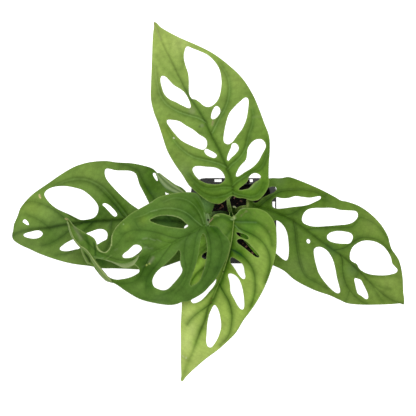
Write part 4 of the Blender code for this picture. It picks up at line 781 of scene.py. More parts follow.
# Uneven colour of the blades: how strong, how wide in millimetres, and a word for the draw
BLOTCHES = [(0.06, 26.0, "wide"), (0.05, 12.0, "blotch"), (0.045, 5.0, "fine")]
UNDER_BLOTCH = (0.06, 12.0)
STREAKS = (0.06, 8.0)
STREAK_STRETCH = 3
TINT_LIMITS = (4, 250)
MARGIN_REACH = 0.6
STROKE_EDGE = 1.5
MARK_EDGE = 4
UNDER_VEIN_SHARE = 0.7
UNDER_RIB_REACH = 1.6
UNDER_SHADE = 0.8
DARKEST_PAINT = 0.002

# Colours of the lower faces, margins, stalks and stem
UNDER_TINT = (118, 134, 92)
PALE_TINT = (168, 182, 122)
MARGIN_TINT = (168, 184, 112)
STALK_TINTS = {
    # the back stalk is painted paler than its own colour, as painted light against the shade of the blade
    # above it
    "leaf_back": [(112, 142, 66), (150, 178, 98), (138, 166, 88)],
    "leaf_left": [(60, 84, 34), (70, 96, 40), (90, 116, 52)],
    "leaf_right": [(84, 108, 44), (104, 128, 58), (150, 168, 100)],
    "leaf_front": [(38, 58, 20), (42, 64, 22), (88, 114, 56)],
    "leaf_bottom": [(60, 84, 34), (76, 104, 42), (150, 168, 100)],
}
STEM_TINTS = [(70, 80, 40), (96, 116, 52)]

# Share of a painted colour that the light gives back, and the sheen it adds
LIGHT_GAIN = 1.30
LIGHT_HAZE = np.array((0.007, 0.0075, 0.0055))
PANEL_REACH = 3.0
# Share of light that painted shade in a vein's groove and on a vein's shaded side take away, and the colour a
# pale vein adds
GROOVE_SHADE = 0.46
SHADE_LINE = 0.32
PALE_LINE = (16, 15, 18)
LINE_REACH = 0.62
SHADE_GAP = 1.9
# How far each blade takes its darker colour near the veins, and how wide its midrib's line is
NEAR_SHARE = {"leaf_back": 0.72, "leaf_left": 0.5, "leaf_right": 0.45, "leaf_front": 0.3, "leaf_bottom": 0.76}
RIB_REACH = {"leaf_back": 1.0, "leaf_left": 1.9, "leaf_right": 0.95, "leaf_front": 0.9, "leaf_bottom": 1.1}
# Lighter or darker line along each midrib, the lighter its own pale colour and the darker painted shade in
# its groove: share of its length, and gain
RIB_GAIN = {
    "leaf_back": [(0, 0.84), (0.3, 0.68), (0.6, 0.68), (0.8, 0.76), (1, 0.88)],
    "leaf_left": [(0, 0.7), (0.4, 0.72), (0.6, 0.52), (0.8, 0.6), (1, 0.85)],
    "leaf_right": [(0, 0.8), (0.5, 0.68), (1, 0.72)],
    "leaf_front": [(0, 1.25), (0.35, 1.2), (0.55, 0.8), (1, 0.7)],
    "leaf_bottom": [(0, 1.1), (0.45, 1.0), (0.55, 0.66), (0.72, 0.62), (0.82, 0.86), (0.9, 1), (1, 1)],
}


def linear(colour):
    """Colour of 0 to 255 as the linear light that the eye sees."""
    c = np.array(colour, float) / 255
    return np.where(c <= 0.04045, c / 12.92, ((c + 0.055) / 1.055) ** 2.4)


def seen_255(light):
    """The reverse of linear: colour of 0 to 255 for linear light."""
    light = np.clip(light, 0, 1)
    return 255 * np.where(light <= 0.0031308, light * 12.92, 1.055 * light ** (1 / 2.4) - 0.055)


def paint(seen):
    """Paint that looks like the given linear colours under this light."""
    return np.clip((np.asarray(seen) - LIGHT_HAZE) / LIGHT_GAIN, DARKEST_PAINT, 1)


def rim_level(pixels):
    """Pixels of the picture as millimetres at the level of the pot's rim."""
    p = np.atleast_2d(np.array(pixels, float))
    return np.column_stack([p[:, 0] - POT_MIDDLE[0], POT_MIDDLE[1] - p[:, 1]]) * PIXEL


def lift(seen, z):
    """Points seen at the level of the rim, moved along their sight lines to the heights z."""
    eye = np.array(EYE[:2])
    share = (EYE[2] - z) / (EYE[2] - POT_HEIGHT)
    return np.column_stack([eye + (seen - eye) * share[:, None], z])


def closed_spline(points, step):
    """Even points on a smooth closed line through the given points."""
    p = np.array(points, float)
    count = len(p)
    fine = []
    for i in range(count):
        a, b, c, d = p[i - 1], p[i], p[(i + 1) % count], p[(i + 2) % count]
        reach = np.linalg.norm(c - b)
        before = (c - a) / max(np.linalg.norm(c - a), TINY) * reach
        after = (d - b) / max(np.linalg.norm(d - b), TINY) * reach
        for t in np.linspace(0, 1, SPLINE_STEPS, endpoint=False):
            square = t * t
            cube = square * t
            share = 3 * square - 2 * cube
            bend = (cube - 2 * square + t) * before + (cube - square) * after
            fine.append((1 - share) * b + share * c + bend)
    fine = np.array(fine)
    lengths = np.linalg.norm(np.roll(fine, -1, axis=0) - fine, axis=1)
    along = np.concatenate([[0.0], np.cumsum(lengths)])
    wanted = np.linspace(0, along[-1], max(FEWEST_SPOTS, int(round(along[-1] / step))), endpoint=False)
    ring = np.vstack([fine, fine[:1]])
    return np.column_stack([np.interp(wanted, along, ring[:, k]) for k in (0, 1)])


def open_spline(points, count):
    """Even points on a smooth line through the given points."""
    p = np.array(points, float)
    q = np.vstack([2 * p[0] - p[1], p, 2 * p[-1] - p[-2]])
    fine = []
    for i in range(1, len(q) - 2):
        for t in np.linspace(0, 1, SPLINE_STEPS, endpoint=False):
            fine.append(0.5 * (2 * q[i] + (q[i + 1] - q[i - 1]) * t
                               + (2 * q[i - 1] - 5 * q[i] + 4 * q[i + 1] - q[i + 2]) * t * t
                               + (3 * q[i] - q[i - 1] - 3 * q[i + 1] + q[i + 2]) * t ** 3))
    fine = np.array(fine + [p[-1]])
    along = np.concatenate([[0.0], np.cumsum(np.linalg.norm(np.diff(fine, axis=0), axis=1))])
    wanted = np.linspace(0, along[-1], count)
    return np.column_stack([np.interp(wanted, along, fine[:, k]) for k in range(p.shape[1])])


def inside(points, ring):
    """True for each point that lies inside the ring."""
    x, y = points[:, 0], points[:, 1]
    odd = np.zeros(len(points), bool)
    for (ax, ay), (bx, by) in zip(ring, np.roll(ring, -1, axis=0)):
        if ay == by:
            continue
        odd ^= ((ay > y) != (by > y)) & (x < (bx - ax) * (y - ay) / (by - ay) + ax)
    return odd


def nearest(points, line, closed=False):
    """Distance from each point to a line, and how far along the line that is, from 0 to 1."""
    a = line if closed else line[:-1]
    b = np.roll(line, -1, axis=0) if closed else line[1:]
    best = np.full(len(points), FAR)
    where = np.zeros(len(points))
    for k, (start, end) in enumerate(zip(a, b)):
        run = end - start
        t = np.clip(((points - start) @ run) / max(run @ run, TINY), 0, 1)
        gap = np.linalg.norm(points - start - t[:, None] * run, axis=1)
        closer = gap < best
        best[closer] = gap[closer]
        where[closer] = (k + t[closer]) / len(a)
    return best, where


def leftness(points, line, where):
    """Above 0 for each point to the left of the line, given how far along the line it is."""
    k = np.minimum((where * (len(line) - 1)).astype(int), len(line) - 2)
    run = line[k + 1] - line[k]
    away = points - line[k]
    return run[:, 0] * away[:, 1] - run[:, 1] * away[:, 0]


def thinned(points, gap):
    """The points without those that lie closer than the gap to an earlier one."""
    kept, cells = [], {}
    for i, (x, y) in enumerate(points):
        a, b = int(x // gap), int(y // gap)
        near = [q for da in (-1, 0, 1) for db in (-1, 0, 1) for q in cells.get((a + da, b + db), ())]
        if all(math.hypot(x - points[q][0], y - points[q][1]) >= gap for q in near):
            cells.setdefault((a, b), []).append(i)
            kept.append(i)
    return points[kept]


def noise(points, scale, seed):
    """Smooth random field made of sine waves."""
    rng = random.Random(seed)
    total = np.zeros(len(points))
    for _ in range(NOISE_WAVES):
        turn = rng.uniform(0, 2 * math.pi)
        length = scale * rng.uniform(*NOISE_SPREAD)
        shift = rng.uniform(0, 2 * math.pi)
        flat = points[:, 0] * math.cos(turn) + points[:, 1] * math.sin(turn)
        total += np.sin(2 * math.pi * flat / length + shift)
    return total / math.sqrt(NOISE_WAVES)


def hill(gap, reach):
    """Bell that is 1 at no gap and fades with the reach."""
    return np.exp(-(gap / reach) ** 2)


def ramp(table, where):
    """Values between evenly spaced or given stops of a table."""
    return np.interp(where, *np.array(table, float).T)


def tint_ramp(tints, where):
    """Linear colours between evenly spaced stops."""
    table = linear(tints)
    at = np.linspace(0, 1, len(table))
    return np.column_stack([np.interp(where, at, table[:, k]) for k in range(3)])


def blend(a, b, share):
    """Rows of a mixed with rows of b by the given share of b."""
    share = np.clip(share, 0, 1)[:, None]
    return a * (1 - share) + b * share


class Blade:
    """One leaf blade: its plan in leaf coordinates, its veins and its place in space."""

    def __init__(self, name):
        """Reads the leaf's tables and sets its own directions along and across."""
        leaf = LEAVES[name]
        self.name = name
        self.leaf = leaf
        self.base = np.array(leaf["base"])
        reach = np.array(leaf["tip"]) - self.base
        self.length = np.linalg.norm(reach)
        self.along = reach / self.length
        self.across = np.array([-self.along[1], self.along[0]])
        self.rib = np.array(leaf["midrib"], float)
        rise = np.array(leaf["rise"], float)
        self.rise_fit = np.polyfit(rise[:, 0], rise[:, 1], 4)
        self.veins = [open_spline(self.plan(rim_level(vein)), VEIN_SPOTS) for vein in VEINS[name]]

    def plan(self, seen):
        """Leaf coordinates of points at the level of the rim."""
        away = seen - self.base
        return np.column_stack([away @ self.along, away @ self.across])

    def seen(self, uv):
        """Points at the level of the rim for leaf coordinates."""
        return self.base + uv[:, :1] * self.along + uv[:, 1:] * self.across

    def fields(self, uv):
        """How near each point is to the midrib and the side veins, with the pale vein lines and the painted
        shade in and beside the veins.
        """
        rib, rib_at = nearest(uv, self.veins[0])
        side = np.full(len(uv), FAR)
        pale, dark, shade, groove = np.zeros((4, len(uv)))
        for vein, (tone, lean) in zip(self.veins[1:], VEIN_TONE[self.name]):
            gap, at = nearest(uv, vein)
            side = np.minimum(side, gap)
            strength = 1 - VEIN_FADE * at
            line = abs(tone) * strength * hill(gap, LINE_REACH)
            if tone > 0:
                pale = np.maximum(pale, line)
            else:
                dark = np.maximum(dark, line)
            # painted shade along one side of each vein
            beside = hill(gap - SHADE_GAP, LINE_REACH) * (leftness(uv, vein, at) * lean > 0)
            shade = np.maximum(shade, strength * beside)
            groove = np.maximum(groove, strength * hill(gap, GROOVE_REACH))
        return dict(rib=rib, rib_at=rib_at, side=side, pale=pale, dark=dark, shade=shade, groove=groove)

    def height(self, uv, fields=None):
        """Height of the blade, with the quilting between its veins where the fields are given."""
        u, v = uv[:, 0], uv[:, 1]
        off = v - np.interp(u, self.rib[:, 0], self.rib[:, 1])
        swing, length, phase = self.leaf["wave"]
        turn = 2 * math.pi * u / length + phase + RIPPLE_SHIFT * np.sign(off)
        ripple = swing * np.sin(turn) * np.minimum(1, (off / RIPPLE_REACH) ** 2)
        crease = CREASE_DEPTH * (1 - np.exp(-np.abs(off) / CREASE_REACH))
        z = np.polyval(self.rise_fit, u) - self.leaf["droop"] * off ** 2 + ripple + crease
        if fields is None:
            return z
        near = np.minimum(fields["side"], fields["rib"])
        z = z + QUILT_DEPTH * (0.5 - hill(near, QUILT_REACH))
        z = z - GROOVE_DEPTH * fields["groove"]
        fading = 1 - RIB_GROOVE_FADE * fields["rib_at"]
        z = z - RIB_GROOVE_DEPTH * fading * hill(fields["rib"], RIB_GROOVE_REACH)
        return z + LUMP_HEIGHT * noise(uv, LUMP_SCALE, self.name)

    def place(self, uv, fields=None):
        """Leaf coordinates to millimetres in space."""
        return lift(self.seen(uv), self.height(uv, fields))

    def vein_spots(self):
        """Rows of points along both sides of every vein, so that its thin lines come out sharp."""
        rows = []
        for reach in VEIN_ROWS:
            for vein in self.veins:
                length = np.linalg.norm(np.diff(vein, axis=0), axis=1).sum()
                line = open_spline(vein, max(4, int(length / VEIN_STEP)))
                ahead = np.gradient(line, axis=0)
                ahead = ahead / np.linalg.norm(ahead, axis=1)[:, None]
                aside = np.column_stack([-ahead[:, 1], ahead[:, 0]])
                rows += [line + reach * aside, line - reach * aside]
        return np.vstack(rows)

    def flat_mesh(self):
        """Points, triangles and edge lines of the blade with its holes left out."""
        rings = [closed_spline(self.leaf["outline"], EDGE_STEP)]
        rings += [closed_spline(hole, EDGE_STEP) for hole in self.leaf["holes"]]
        rim = np.vstack(rings)
        low, high = rim.min(axis=0), rim.max(axis=0)
        rows = []
        for j, v in enumerate(np.arange(low[1], high[1], INNER_STEP * ROW_SHARE)):
            us = np.arange(low[0], high[0], INNER_STEP) + 0.5 * INNER_STEP * (j % 2)
            rows.append(np.column_stack([us, np.full(len(us), v)]))
        spots = np.vstack(rows)
        away = np.min([nearest(spots, vein)[0] for vein in self.veins], axis=0)
        spots = spots[away > VEIN_ROWS[-1] + 0.5 * INNER_STEP]
        spots = np.vstack([thinned(self.vein_spots(), VEIN_GAP), spots])
        spots = spots[self.on_blade(spots, rings)]
        gap = np.full(len(spots), FAR)
        for ring in rings:
            gap = np.minimum(gap, nearest(spots, ring, True)[0])
        spots = spots[gap > EDGE_CLEAR * EDGE_STEP]
        edges = []
        start = 0
        for ring in rings:
            n = len(ring)
            edges += [(start + i, start + (i + 1) % n) for i in range(n)]
            start += n
        verts = [Vector(p) for p in np.vstack([rim, spots])]
        flat, _, faces, _, _, _ = delaunay_2d_cdt(verts, edges, [], 0, MERGE_GAP)
        uv = np.array([(p.x, p.y) for p in flat])
        tris = np.array([f for f in faces if len(f) == 3])
        tris = tris[self.on_blade(uv[tris].mean(axis=1), rings)]
        a, b, c = (uv[tris[:, k]] for k in range(3))
        turned = np.cross(b - a, c - a) < 0
        tris[turned] = tris[turned][:, ::-1]
        return uv, tris, rings

    @staticmethod
    def on_blade(spots, rings):
        """True for each spot inside the outline and outside every hole."""
        ok = inside(spots, rings[0])
        for ring in rings[1:]:
            ok &= ~inside(spots, ring)
        return ok


def mesh_normals(points, tris):
    """Direction of the surface at each point."""
    a, b, c = (points[tris[:, k]] for k in range(3))
    n = np.cross(b - a, c - a)
    total = np.zeros_like(points)
    for k in range(3):
        np.add.at(total, tris[:, k], n)
    return total / np.maximum(np.linalg.norm(total, axis=1)[:, None], TINY)


def open_sides(faces):
    """Directed sides that only one face has."""
    sides = {(int(f[k]), int(f[(k + 1) % len(f)])) for f in faces for k in range(len(f))}
    return sorted(side for side in sides if side[::-1] not in sides)


class Shell:
    """Collects points, faces, point colours and face materials of one piece."""

    def __init__(self):
        """Starts empty."""
        self.points, self.faces, self.colours, self.skins = [], [], [], []
        self.count = 0

    def add(self, points, faces, seen_colours, skin=0):
        """Adds points with their seen colours and the faces between them."""
        self.points.append(np.asarray(points, float))
        self.colours.append(np.broadcast_to(paint(seen_colours), (len(points), 3)))
        self.faces += [tuple(int(i) + self.count for i in f) for f in faces]
        self.skins += [skin] * len(faces) if isinstance(skin, int) else list(skin)
        self.count += len(points)

    def build(self, name, materials, sharp=SMOOTH_ANGLE):
        """Makes the piece, smooth but for corners sharper than the angle, and rides it on the body."""
        mesh = bpy.data.meshes.new(name)
        points = np.vstack(self.points) * MM
        mesh.from_pydata(points.tolist(), [], self.faces)
        layer = mesh.color_attributes.new("tint", "FLOAT_COLOR", "POINT")
        colours = np.column_stack([np.vstack(self.colours), np.ones(len(points))])
        layer.data.foreach_set("color", colours.ravel())
        for skin in materials:
            mesh.materials.append(skin)
        mesh.polygons.foreach_set("material_index", self.skins)
        mesh.polygons.foreach_set("use_smooth", [True] * len(mesh.polygons))
        mesh.update()
        mesh.set_sharp_from_angle(angle=math.radians(sharp))
        item = bpy.data.objects.new(name, mesh)
        bpy.context.scene.collection.objects.link(item)
        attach(item, "root")
        return item


def top_tint(blade, uv, fields, edge):
    """Colour of the upper face, point by point, with painted shade, shadow, light and sheen."""
    name = blade.name
    where = np.clip(uv[:, 0] / blade.length, 0, 1)
    gap = np.minimum(fields["side"], fields["rib"])
    near = NEAR_SHARE[name] * hill(gap, PANEL_REACH)
    tint = blend(tint_ramp(OFF_VEIN[name], where), tint_ramp(NEAR_VEIN[name], where), near)
    gain = 1
    for strength, scale, word in BLOTCHES:
        gain = gain + strength * noise(uv, scale, name + word)
    gain = gain * (1 - GROOVE_SHADE * fields["dark"]) * (1 - SHADE_LINE * fields["shade"])
    rib_gain = ramp(RIB_GAIN[name], fields["rib_at"])
    gain = gain * (1 + (rib_gain - 1) * hill(fields["rib"], RIB_REACH[name]))
    tint = seen_255(tint * gain[:, None]) + np.outer(fields["pale"], PALE_LINE)
    # Soft patches of painted shadow, shade, light and sheen, with some of the blade's own uneven colour
    for middle, reach, change in LIGHT_SHADE_TONE_PATCHES[name]:
        away = np.linalg.norm(uv - blade.plan(rim_level(middle)), axis=1)
        tint = tint + np.outer(hill(away, reach * PIXEL), change)
    tint = linear(np.clip(tint, *TINT_LIMITS))
    left, right = MARGIN[name]
    pale = np.where(uv[:, 1] > np.interp(uv[:, 0], blade.rib[:, 0], blade.rib[:, 1]), left, right)
    tint = blend(tint, linear(MARGIN_TINT), pale * hill(edge, MARGIN_REACH))
    # Strokes of the blade's own marks and of painted sheen, reflection and shade
    for line, half, colour, solid in MARK_SHEEN_SHADE_STROKES[name]:
        away, _ = nearest(uv, open_spline(blade.plan(rim_level(line)), STROKE_SPOTS))
        tint = blend(tint, linear(colour), solid * hill(away, half * PIXEL) ** STROKE_EDGE)
    for middle, radius, colour, solid in MARKS[name]:
        away = np.linalg.norm(uv - blade.plan(rim_level(middle)), axis=1)
        tint = blend(tint, linear(colour), solid * np.exp(-(away / (radius * PIXEL)) ** MARK_EDGE))
    return tint


def under_tint(blade, uv, fields):
    """Colour of the paler lower face with its raised veins."""
    strength, scale = UNDER_BLOTCH
    tint = linear(UNDER_TINT)[None, :] * (1 + strength * noise(uv, scale, blade.name + "low"))[:, None]
    raised = np.maximum(fields["groove"], hill(fields["rib"], UNDER_RIB_REACH))
    return blend(tint, linear(PALE_TINT), UNDER_VEIN_SHARE * raised)


def blade_shell(shell, blade):
    """Adds the blade with its upper face, its ribbed lower face and the edges between them."""
    uv, tris, rings = blade.flat_mesh()
    fields = blade.fields(uv)
    edge = np.min([nearest(uv, ring, True)[0] for ring in rings], axis=0)
    place = blade.place(uv, fields)
    normal = mesh_normals(place, tris)
    ridge = RIB_DEPTH * (1 - RIB_FADE * fields["rib_at"]) * hill(fields["rib"], RIB_WIDTH)
    thin = BLADE_THICK / 2 * (EDGE_SHARE + (1 - EDGE_SHARE) * np.clip(edge / THIN_REACH, 0, 1))
    top = place + normal * thin[:, None]
    under = place - normal * (thin + ridge)[:, None]
    count = len(uv)
    faces = [tuple(t) for t in tris] + [tuple(t[::-1] + count) for t in tris]
    skins = [0] * len(tris) + [1] * len(tris)
    for i, j in open_sides(tris):
        faces.append((i, i + count, j + count, j))
        skins.append(0)
    tints = np.vstack([top_tint(blade, uv, fields, edge), under_tint(blade, uv, fields)])
    shell.add(np.vstack([top, under]), faces, tints, skins)


def strip(shell, band, blade=None):
    """Thin curved strip between two lines of the picture, over the blade where one is given."""
    long, wide = STRIP_LONG, STRIP_WIDE
    a = open_spline(rim_level(band["first"]), long)
    b = open_spline(rim_level(band["second"]), long)
    across = np.repeat(np.linspace(0, 1, wide), long)
    seen = blend(np.tile(a, (wide, 1)), np.tile(b, (wide, 1)), across)
    ground = blade.height(blade.plan(seen)) if blade else 0
    low, high = band["rise"]
    level = ground + low + (high - low) * across
    top = lift(seen, level + band["arch"] * np.sin(math.pi * across))
    sheet = np.array([(j * long + i, j * long + i + 1, (j + 1) * long + i + 1, (j + 1) * long + i)
                      for j in range(wide - 1) for i in range(long - 1)])
    corners = top[sheet]
    upward = np.cross(corners[:, 1] - corners[:, 0], corners[:, 3] - corners[:, 0])[:, 2].sum()
    if upward < 0:
        sheet = sheet[:, ::-1]
    close_shell(shell, top, top - [0, 0, STRIP_THICK], sheet, tint_ramp(band["tints"], across))


def close_shell(shell, top, under, sheet, seen_colours):
    """Adds a sheet's upper face, its lower face and the narrow faces round its edges."""
    count = len(top)
    faces = [tuple(f) for f in sheet] + [tuple(f[::-1] + count) for f in sheet]
    faces += [(i, i + count, j + count, j) for i, j in open_sides(sheet)]
    shell.add(np.vstack([top, under]), faces, np.vstack([seen_colours, seen_colours * UNDER_SHADE]))


def sweep(shell, path, radii, grooves, inward, sides, seen_colours, skin=0):
    """Closed rod along a path; a groove of the given depth runs along the side that faces inward."""
    count = len(path)
    turns = np.linspace(0, 2 * math.pi, sides, endpoint=False)
    away = (turns + math.pi) % (2 * math.pi) - math.pi
    rows = []
    for i, point in enumerate(path):
        ahead = path[min(i + 1, count - 1)] - path[max(i - 1, 0)]
        ahead = ahead / np.linalg.norm(ahead)
        face = inward - ahead * (inward @ ahead)
        face = face / np.linalg.norm(face)
        ring = np.outer(np.cos(turns), face) + np.outer(np.sin(turns), np.cross(ahead, face))
        rows.append(point + ring * (radii[i] * (1 - grooves[i] * hill(away, GROOVE_ARC)))[:, None])
    faces = []
    for i in range(count - 1):
        for k in range(sides):
            a, b = i * sides + k, i * sides + (k + 1) % sides
            faces.append((a, b, b + sides, a + sides))
    low, high, top = count * sides, count * sides + 1, (count - 1) * sides
    for k in range(sides):
        j = (k + 1) % sides
        faces.append((low, j, k))
        faces.append((high, top + k, top + j))
    tints = np.vstack([np.repeat(seen_colours, sides, axis=0), seen_colours[:1], seen_colours[-1:]])
    shell.add(np.vstack(rows + [path[:1], path[-1:]]), faces, tints, skin)


def seat(near, reach):
    """Foot of a stalk of the given radius, standing just clear of the stem on the side of the given point."""
    axis = np.array(STEM_PLAN)
    away = near[:2] - axis
    girth = STEM_RADIUS * ramp(STEM_SWELL, near[2])
    return np.append(axis + away / np.linalg.norm(away) * (girth + FIT_GAP + reach), near[2])


def stalk(shell, blade):
    """Grooved stalk from the stem to under the blade, with a paler bend at its top."""
    data = blade.leaf
    under = np.array([(u, np.interp(u, blade.rib[:, 0], blade.rib[:, 1])) for u, _ in STALK_ENDS])
    ends = blade.place(under) - [(0, 0, sink) for _, sink in STALK_ENDS]
    seen = np.array(data["stalk"], float)
    way = lift(seen[:, :2], seen[:, 2])
    way[0] = seat(way[0], data["stalk_radius"] * STALK_FOOT)
    path = open_spline(np.vstack([way, ends]), STALK_RINGS)
    share = np.linspace(0, 1, len(path))
    radii = data["stalk_radius"] * ramp(STALK_GIRTH, share)
    inward = np.array([STEM_PLAN[0] - path[0][0], STEM_PLAN[1] - path[0][1], STALK_LEAN])
    inward = inward / np.linalg.norm(inward)
    strength, scale = STREAKS
    streaks = 1 + strength * noise(path[:, :2] * STREAK_STRETCH, scale, blade.name + "stalk")
    colours = tint_ramp(STALK_TINTS[blade.name], share) * streaks[:, None]
    sweep(shell, path, radii, ramp(STALK_GROOVE, share), inward, STALK_SIDES, colours, 2)


def leaves():
    """Every leaf: its blade, its stalk, and the turned margins and flaps over it, with one tiny sheet of
    painted shade.
    """
    skins = [leaf_skin("leaf_top", **LEAF_TOP), leaf_skin("leaf_under", **LEAF_UNDER),
             speckled_skin("stalk_skin", **STALK_SURFACE)]
    for name in LEAVES:
        blade = Blade(name)
        shell = Shell()
        blade_shell(shell, blade)
        stalk(shell, blade)
        for flap in FLAPS_AND_SHADE_SHEET.get(name, []):
            strip(shell, flap, blade)
        item = shell.build(name.replace("leaf_", "blade_"), skins)
        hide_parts(name)


def sheaths():
    """Leaf sheaths round the top of the stem, with a thin strip of painted highlight."""
    shell = Shell()
    for sheath in SHEATHS_AND_HIGHLIGHT:
        strip(shell, sheath)
    item = shell.build("vine_sheaths", [speckled_skin("sheath_skin", **STALK_SURFACE)])


def stem():
    """Short upright stem that the stalks stand beside."""
    shell = Shell()
    levels = open_spline(STEM_SWELL, STEM_RINGS)
    path = np.array([(*STEM_PLAN, z) for z, _ in levels])
    colours = tint_ramp(STEM_TINTS, np.linspace(0, 1, len(path)))
    radii = levels[:, 1] * STEM_RADIUS
    sweep(shell, path, radii, np.zeros(len(path)), np.array([1.0, 0, 0]), STEM_SIDES, colours)
    item = shell.build("vine_stem", [speckled_skin("stem_skin", **STEM_SURFACE)])
    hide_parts("stem")


def within(x, y, width, corner):
    """How far a point lies inside a rounded square."""
    dx, dy = np.abs(x) - (width / 2 - corner), np.abs(y) - (width / 2 - corner)
    outside = np.hypot(np.maximum(dx, 0), np.maximum(dy, 0))
    return corner - np.where(np.maximum(dx, dy) < 0, np.maximum(dx, dy), outside)


def soil_height(x, y):
    """Height of the soil's gently waved top."""
    share, turn_x, shift_x, turn_y, shift_y = SOIL_LONG_WAVE
    small, fine_y, fine_x = SOIL_SHORT_WAVE
    waves = share * np.sin(turn_x * x + shift_x) * np.cos(turn_y * y + shift_y)
    return SOIL_LEVEL + SOIL_BUMP * (waves + small * np.sin(fine_y * y + fine_x * x))


def wall_width(z):
    """Outside width of the tapered wall at a height."""
    top = POT_WIDTH - 2 * RIM_REACH
    return BASE_WIDTH + (top - BASE_WIDTH) * z / POT_HEIGHT


def soil_bed():
    """Rough bed of soil that fills the pot."""
    gap = 2 * (WALL + FIT_GAP)
    width = wall_width(SOIL_LEVEL) - gap
    corner = TOP_CORNER - WALL - FIT_GAP
    half = int(width / 2 / BED_STEP)
    axis = np.arange(-half, half + 1) * BED_STEP
    n = len(axis)
    x, y = np.meshgrid(axis, axis)
    grid = np.column_stack([x.ravel(), y.ravel()])
    keep = within(grid[:, 0], grid[:, 1], width, corner) > 0
    index = np.where(keep, np.cumsum(keep) - 1, -1).reshape(n, n)
    corners = np.stack([index[:-1, :-1], index[:-1, 1:], index[1:, 1:], index[1:, :-1]], axis=-1)
    corners = corners.reshape(-1, 4)
    sheet = corners[corners.min(axis=1) >= 0]
    spots = grid[keep]
    lumps = sum(rise * noise(spots, scale, word) for rise, scale, word in BED_LUMPS) - BED_SINK
    top = np.column_stack([spots, soil_height(spots[:, 0], spots[:, 1]) + lumps])
    shrunk = spots * (wall_width(BED_FLOOR) - gap) / width
    under = np.column_stack([shrunk, np.full(len(spots), BED_FLOOR)])
    shell = Shell()
    strength, scale = SOIL_MOTTLE
    tint = linear(SOIL_TINT)[None, :] * (1 + strength * noise(spots, scale, "dark"))[:, None]
    close_shell(shell, top, under, sheet, tint)
    bed = shell.build("soil_bed", [speckled_skin("soil_skin", **SOIL_SURFACE)], BED_ANGLE)
    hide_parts("soil")


def crumb(shell, rng, middle, size, yaw, colour):
    """One rough lump: a box with every corner drawn in by chance."""
    tilt = rng.uniform(-CRUMB_TILT, CRUMB_TILT)
    rows = []
    for c in (-1, 1):
        for a, b in ((-1, -1), (1, -1), (1, 1), (-1, 1)):
            reach = (a * size[0], b * size[1], c * size[2])
            x, y, z = (0.5 * rng.uniform(*CRUMB_DRAW) * side for side in reach)
            x, z = x * math.cos(tilt) + z * math.sin(tilt), z * math.cos(tilt) - x * math.sin(tilt)
            rows.append((middle[0] + x * math.cos(yaw) - y * math.sin(yaw),
                         middle[1] + x * math.sin(yaw) + y * math.cos(yaw), middle[2] + z))
    sides = [(3, 2, 1, 0), (4, 5, 6, 7), (0, 1, 5, 4), (1, 2, 6, 5), (2, 3, 7, 6), (3, 0, 4, 7)]
    shell.add(rows, sides, linear(colour))


def soil_bits():
    """Loose crumbs and bark on the soil, with the bark that shows between the leaves."""
    rng = random.Random(CRUMB_SEED)
    width = wall_width(SOIL_LEVEL) - 2 * (WALL + FIT_GAP)
    shell = Shell()
    for k in range(CRUMB_COUNT):
        x, y = rng.uniform(-CRUMB_FIELD, CRUMB_FIELD), rng.uniform(-CRUMB_FIELD, CRUMB_FIELD)
        by_wall = within(x, y, width - CRUMB_WALL_GAP, CRUMB_CORNER) < 0
        if by_wall or math.hypot(x - STEM_PLAN[0], y - STEM_PLAN[1]) < CRUMB_STEM_GAP:
            continue
        kind = LOOSE_SOIL if k % BARK_EVERY else LOOSE_BARK
        size = rng.uniform(*kind["long"])
        shape = (size, size * rng.uniform(*kind["wide"]), size * rng.uniform(*kind["high"]))
        tone = rng.uniform(*kind["tone"])
        colour = [tone * share for share in kind["cast"]]
        middle = (x, y, float(soil_height(x, y)) + rng.uniform(*CRUMB_LIFT))
        crumb(shell, rng, middle, shape, rng.uniform(0, math.pi), colour)
    for spot, long, yaw, colour in BARK:
        at = lift(rim_level(spot), np.array([SOIL_LEVEL + BARK_LIFT]))[0]
        crumb(shell, rng, at, [long * share for share in BARK_SHAPE], yaw, colour)
    for spot, long, colour in RIM_CRUMBS:
        at = lift(rim_level(spot), np.array([POT_HEIGHT + long * RIM_CRUMB_LIFT]))[0]
        crumb(shell, rng, at, [long * share for share in RIM_CRUMB_SHAPE], RIM_CRUMB_TURN, colour)
    crumbs = shell.build("soil_bits", [speckled_skin("soil_bit_skin", **CRUMB_SURFACE)], CRUMB_ANGLE)


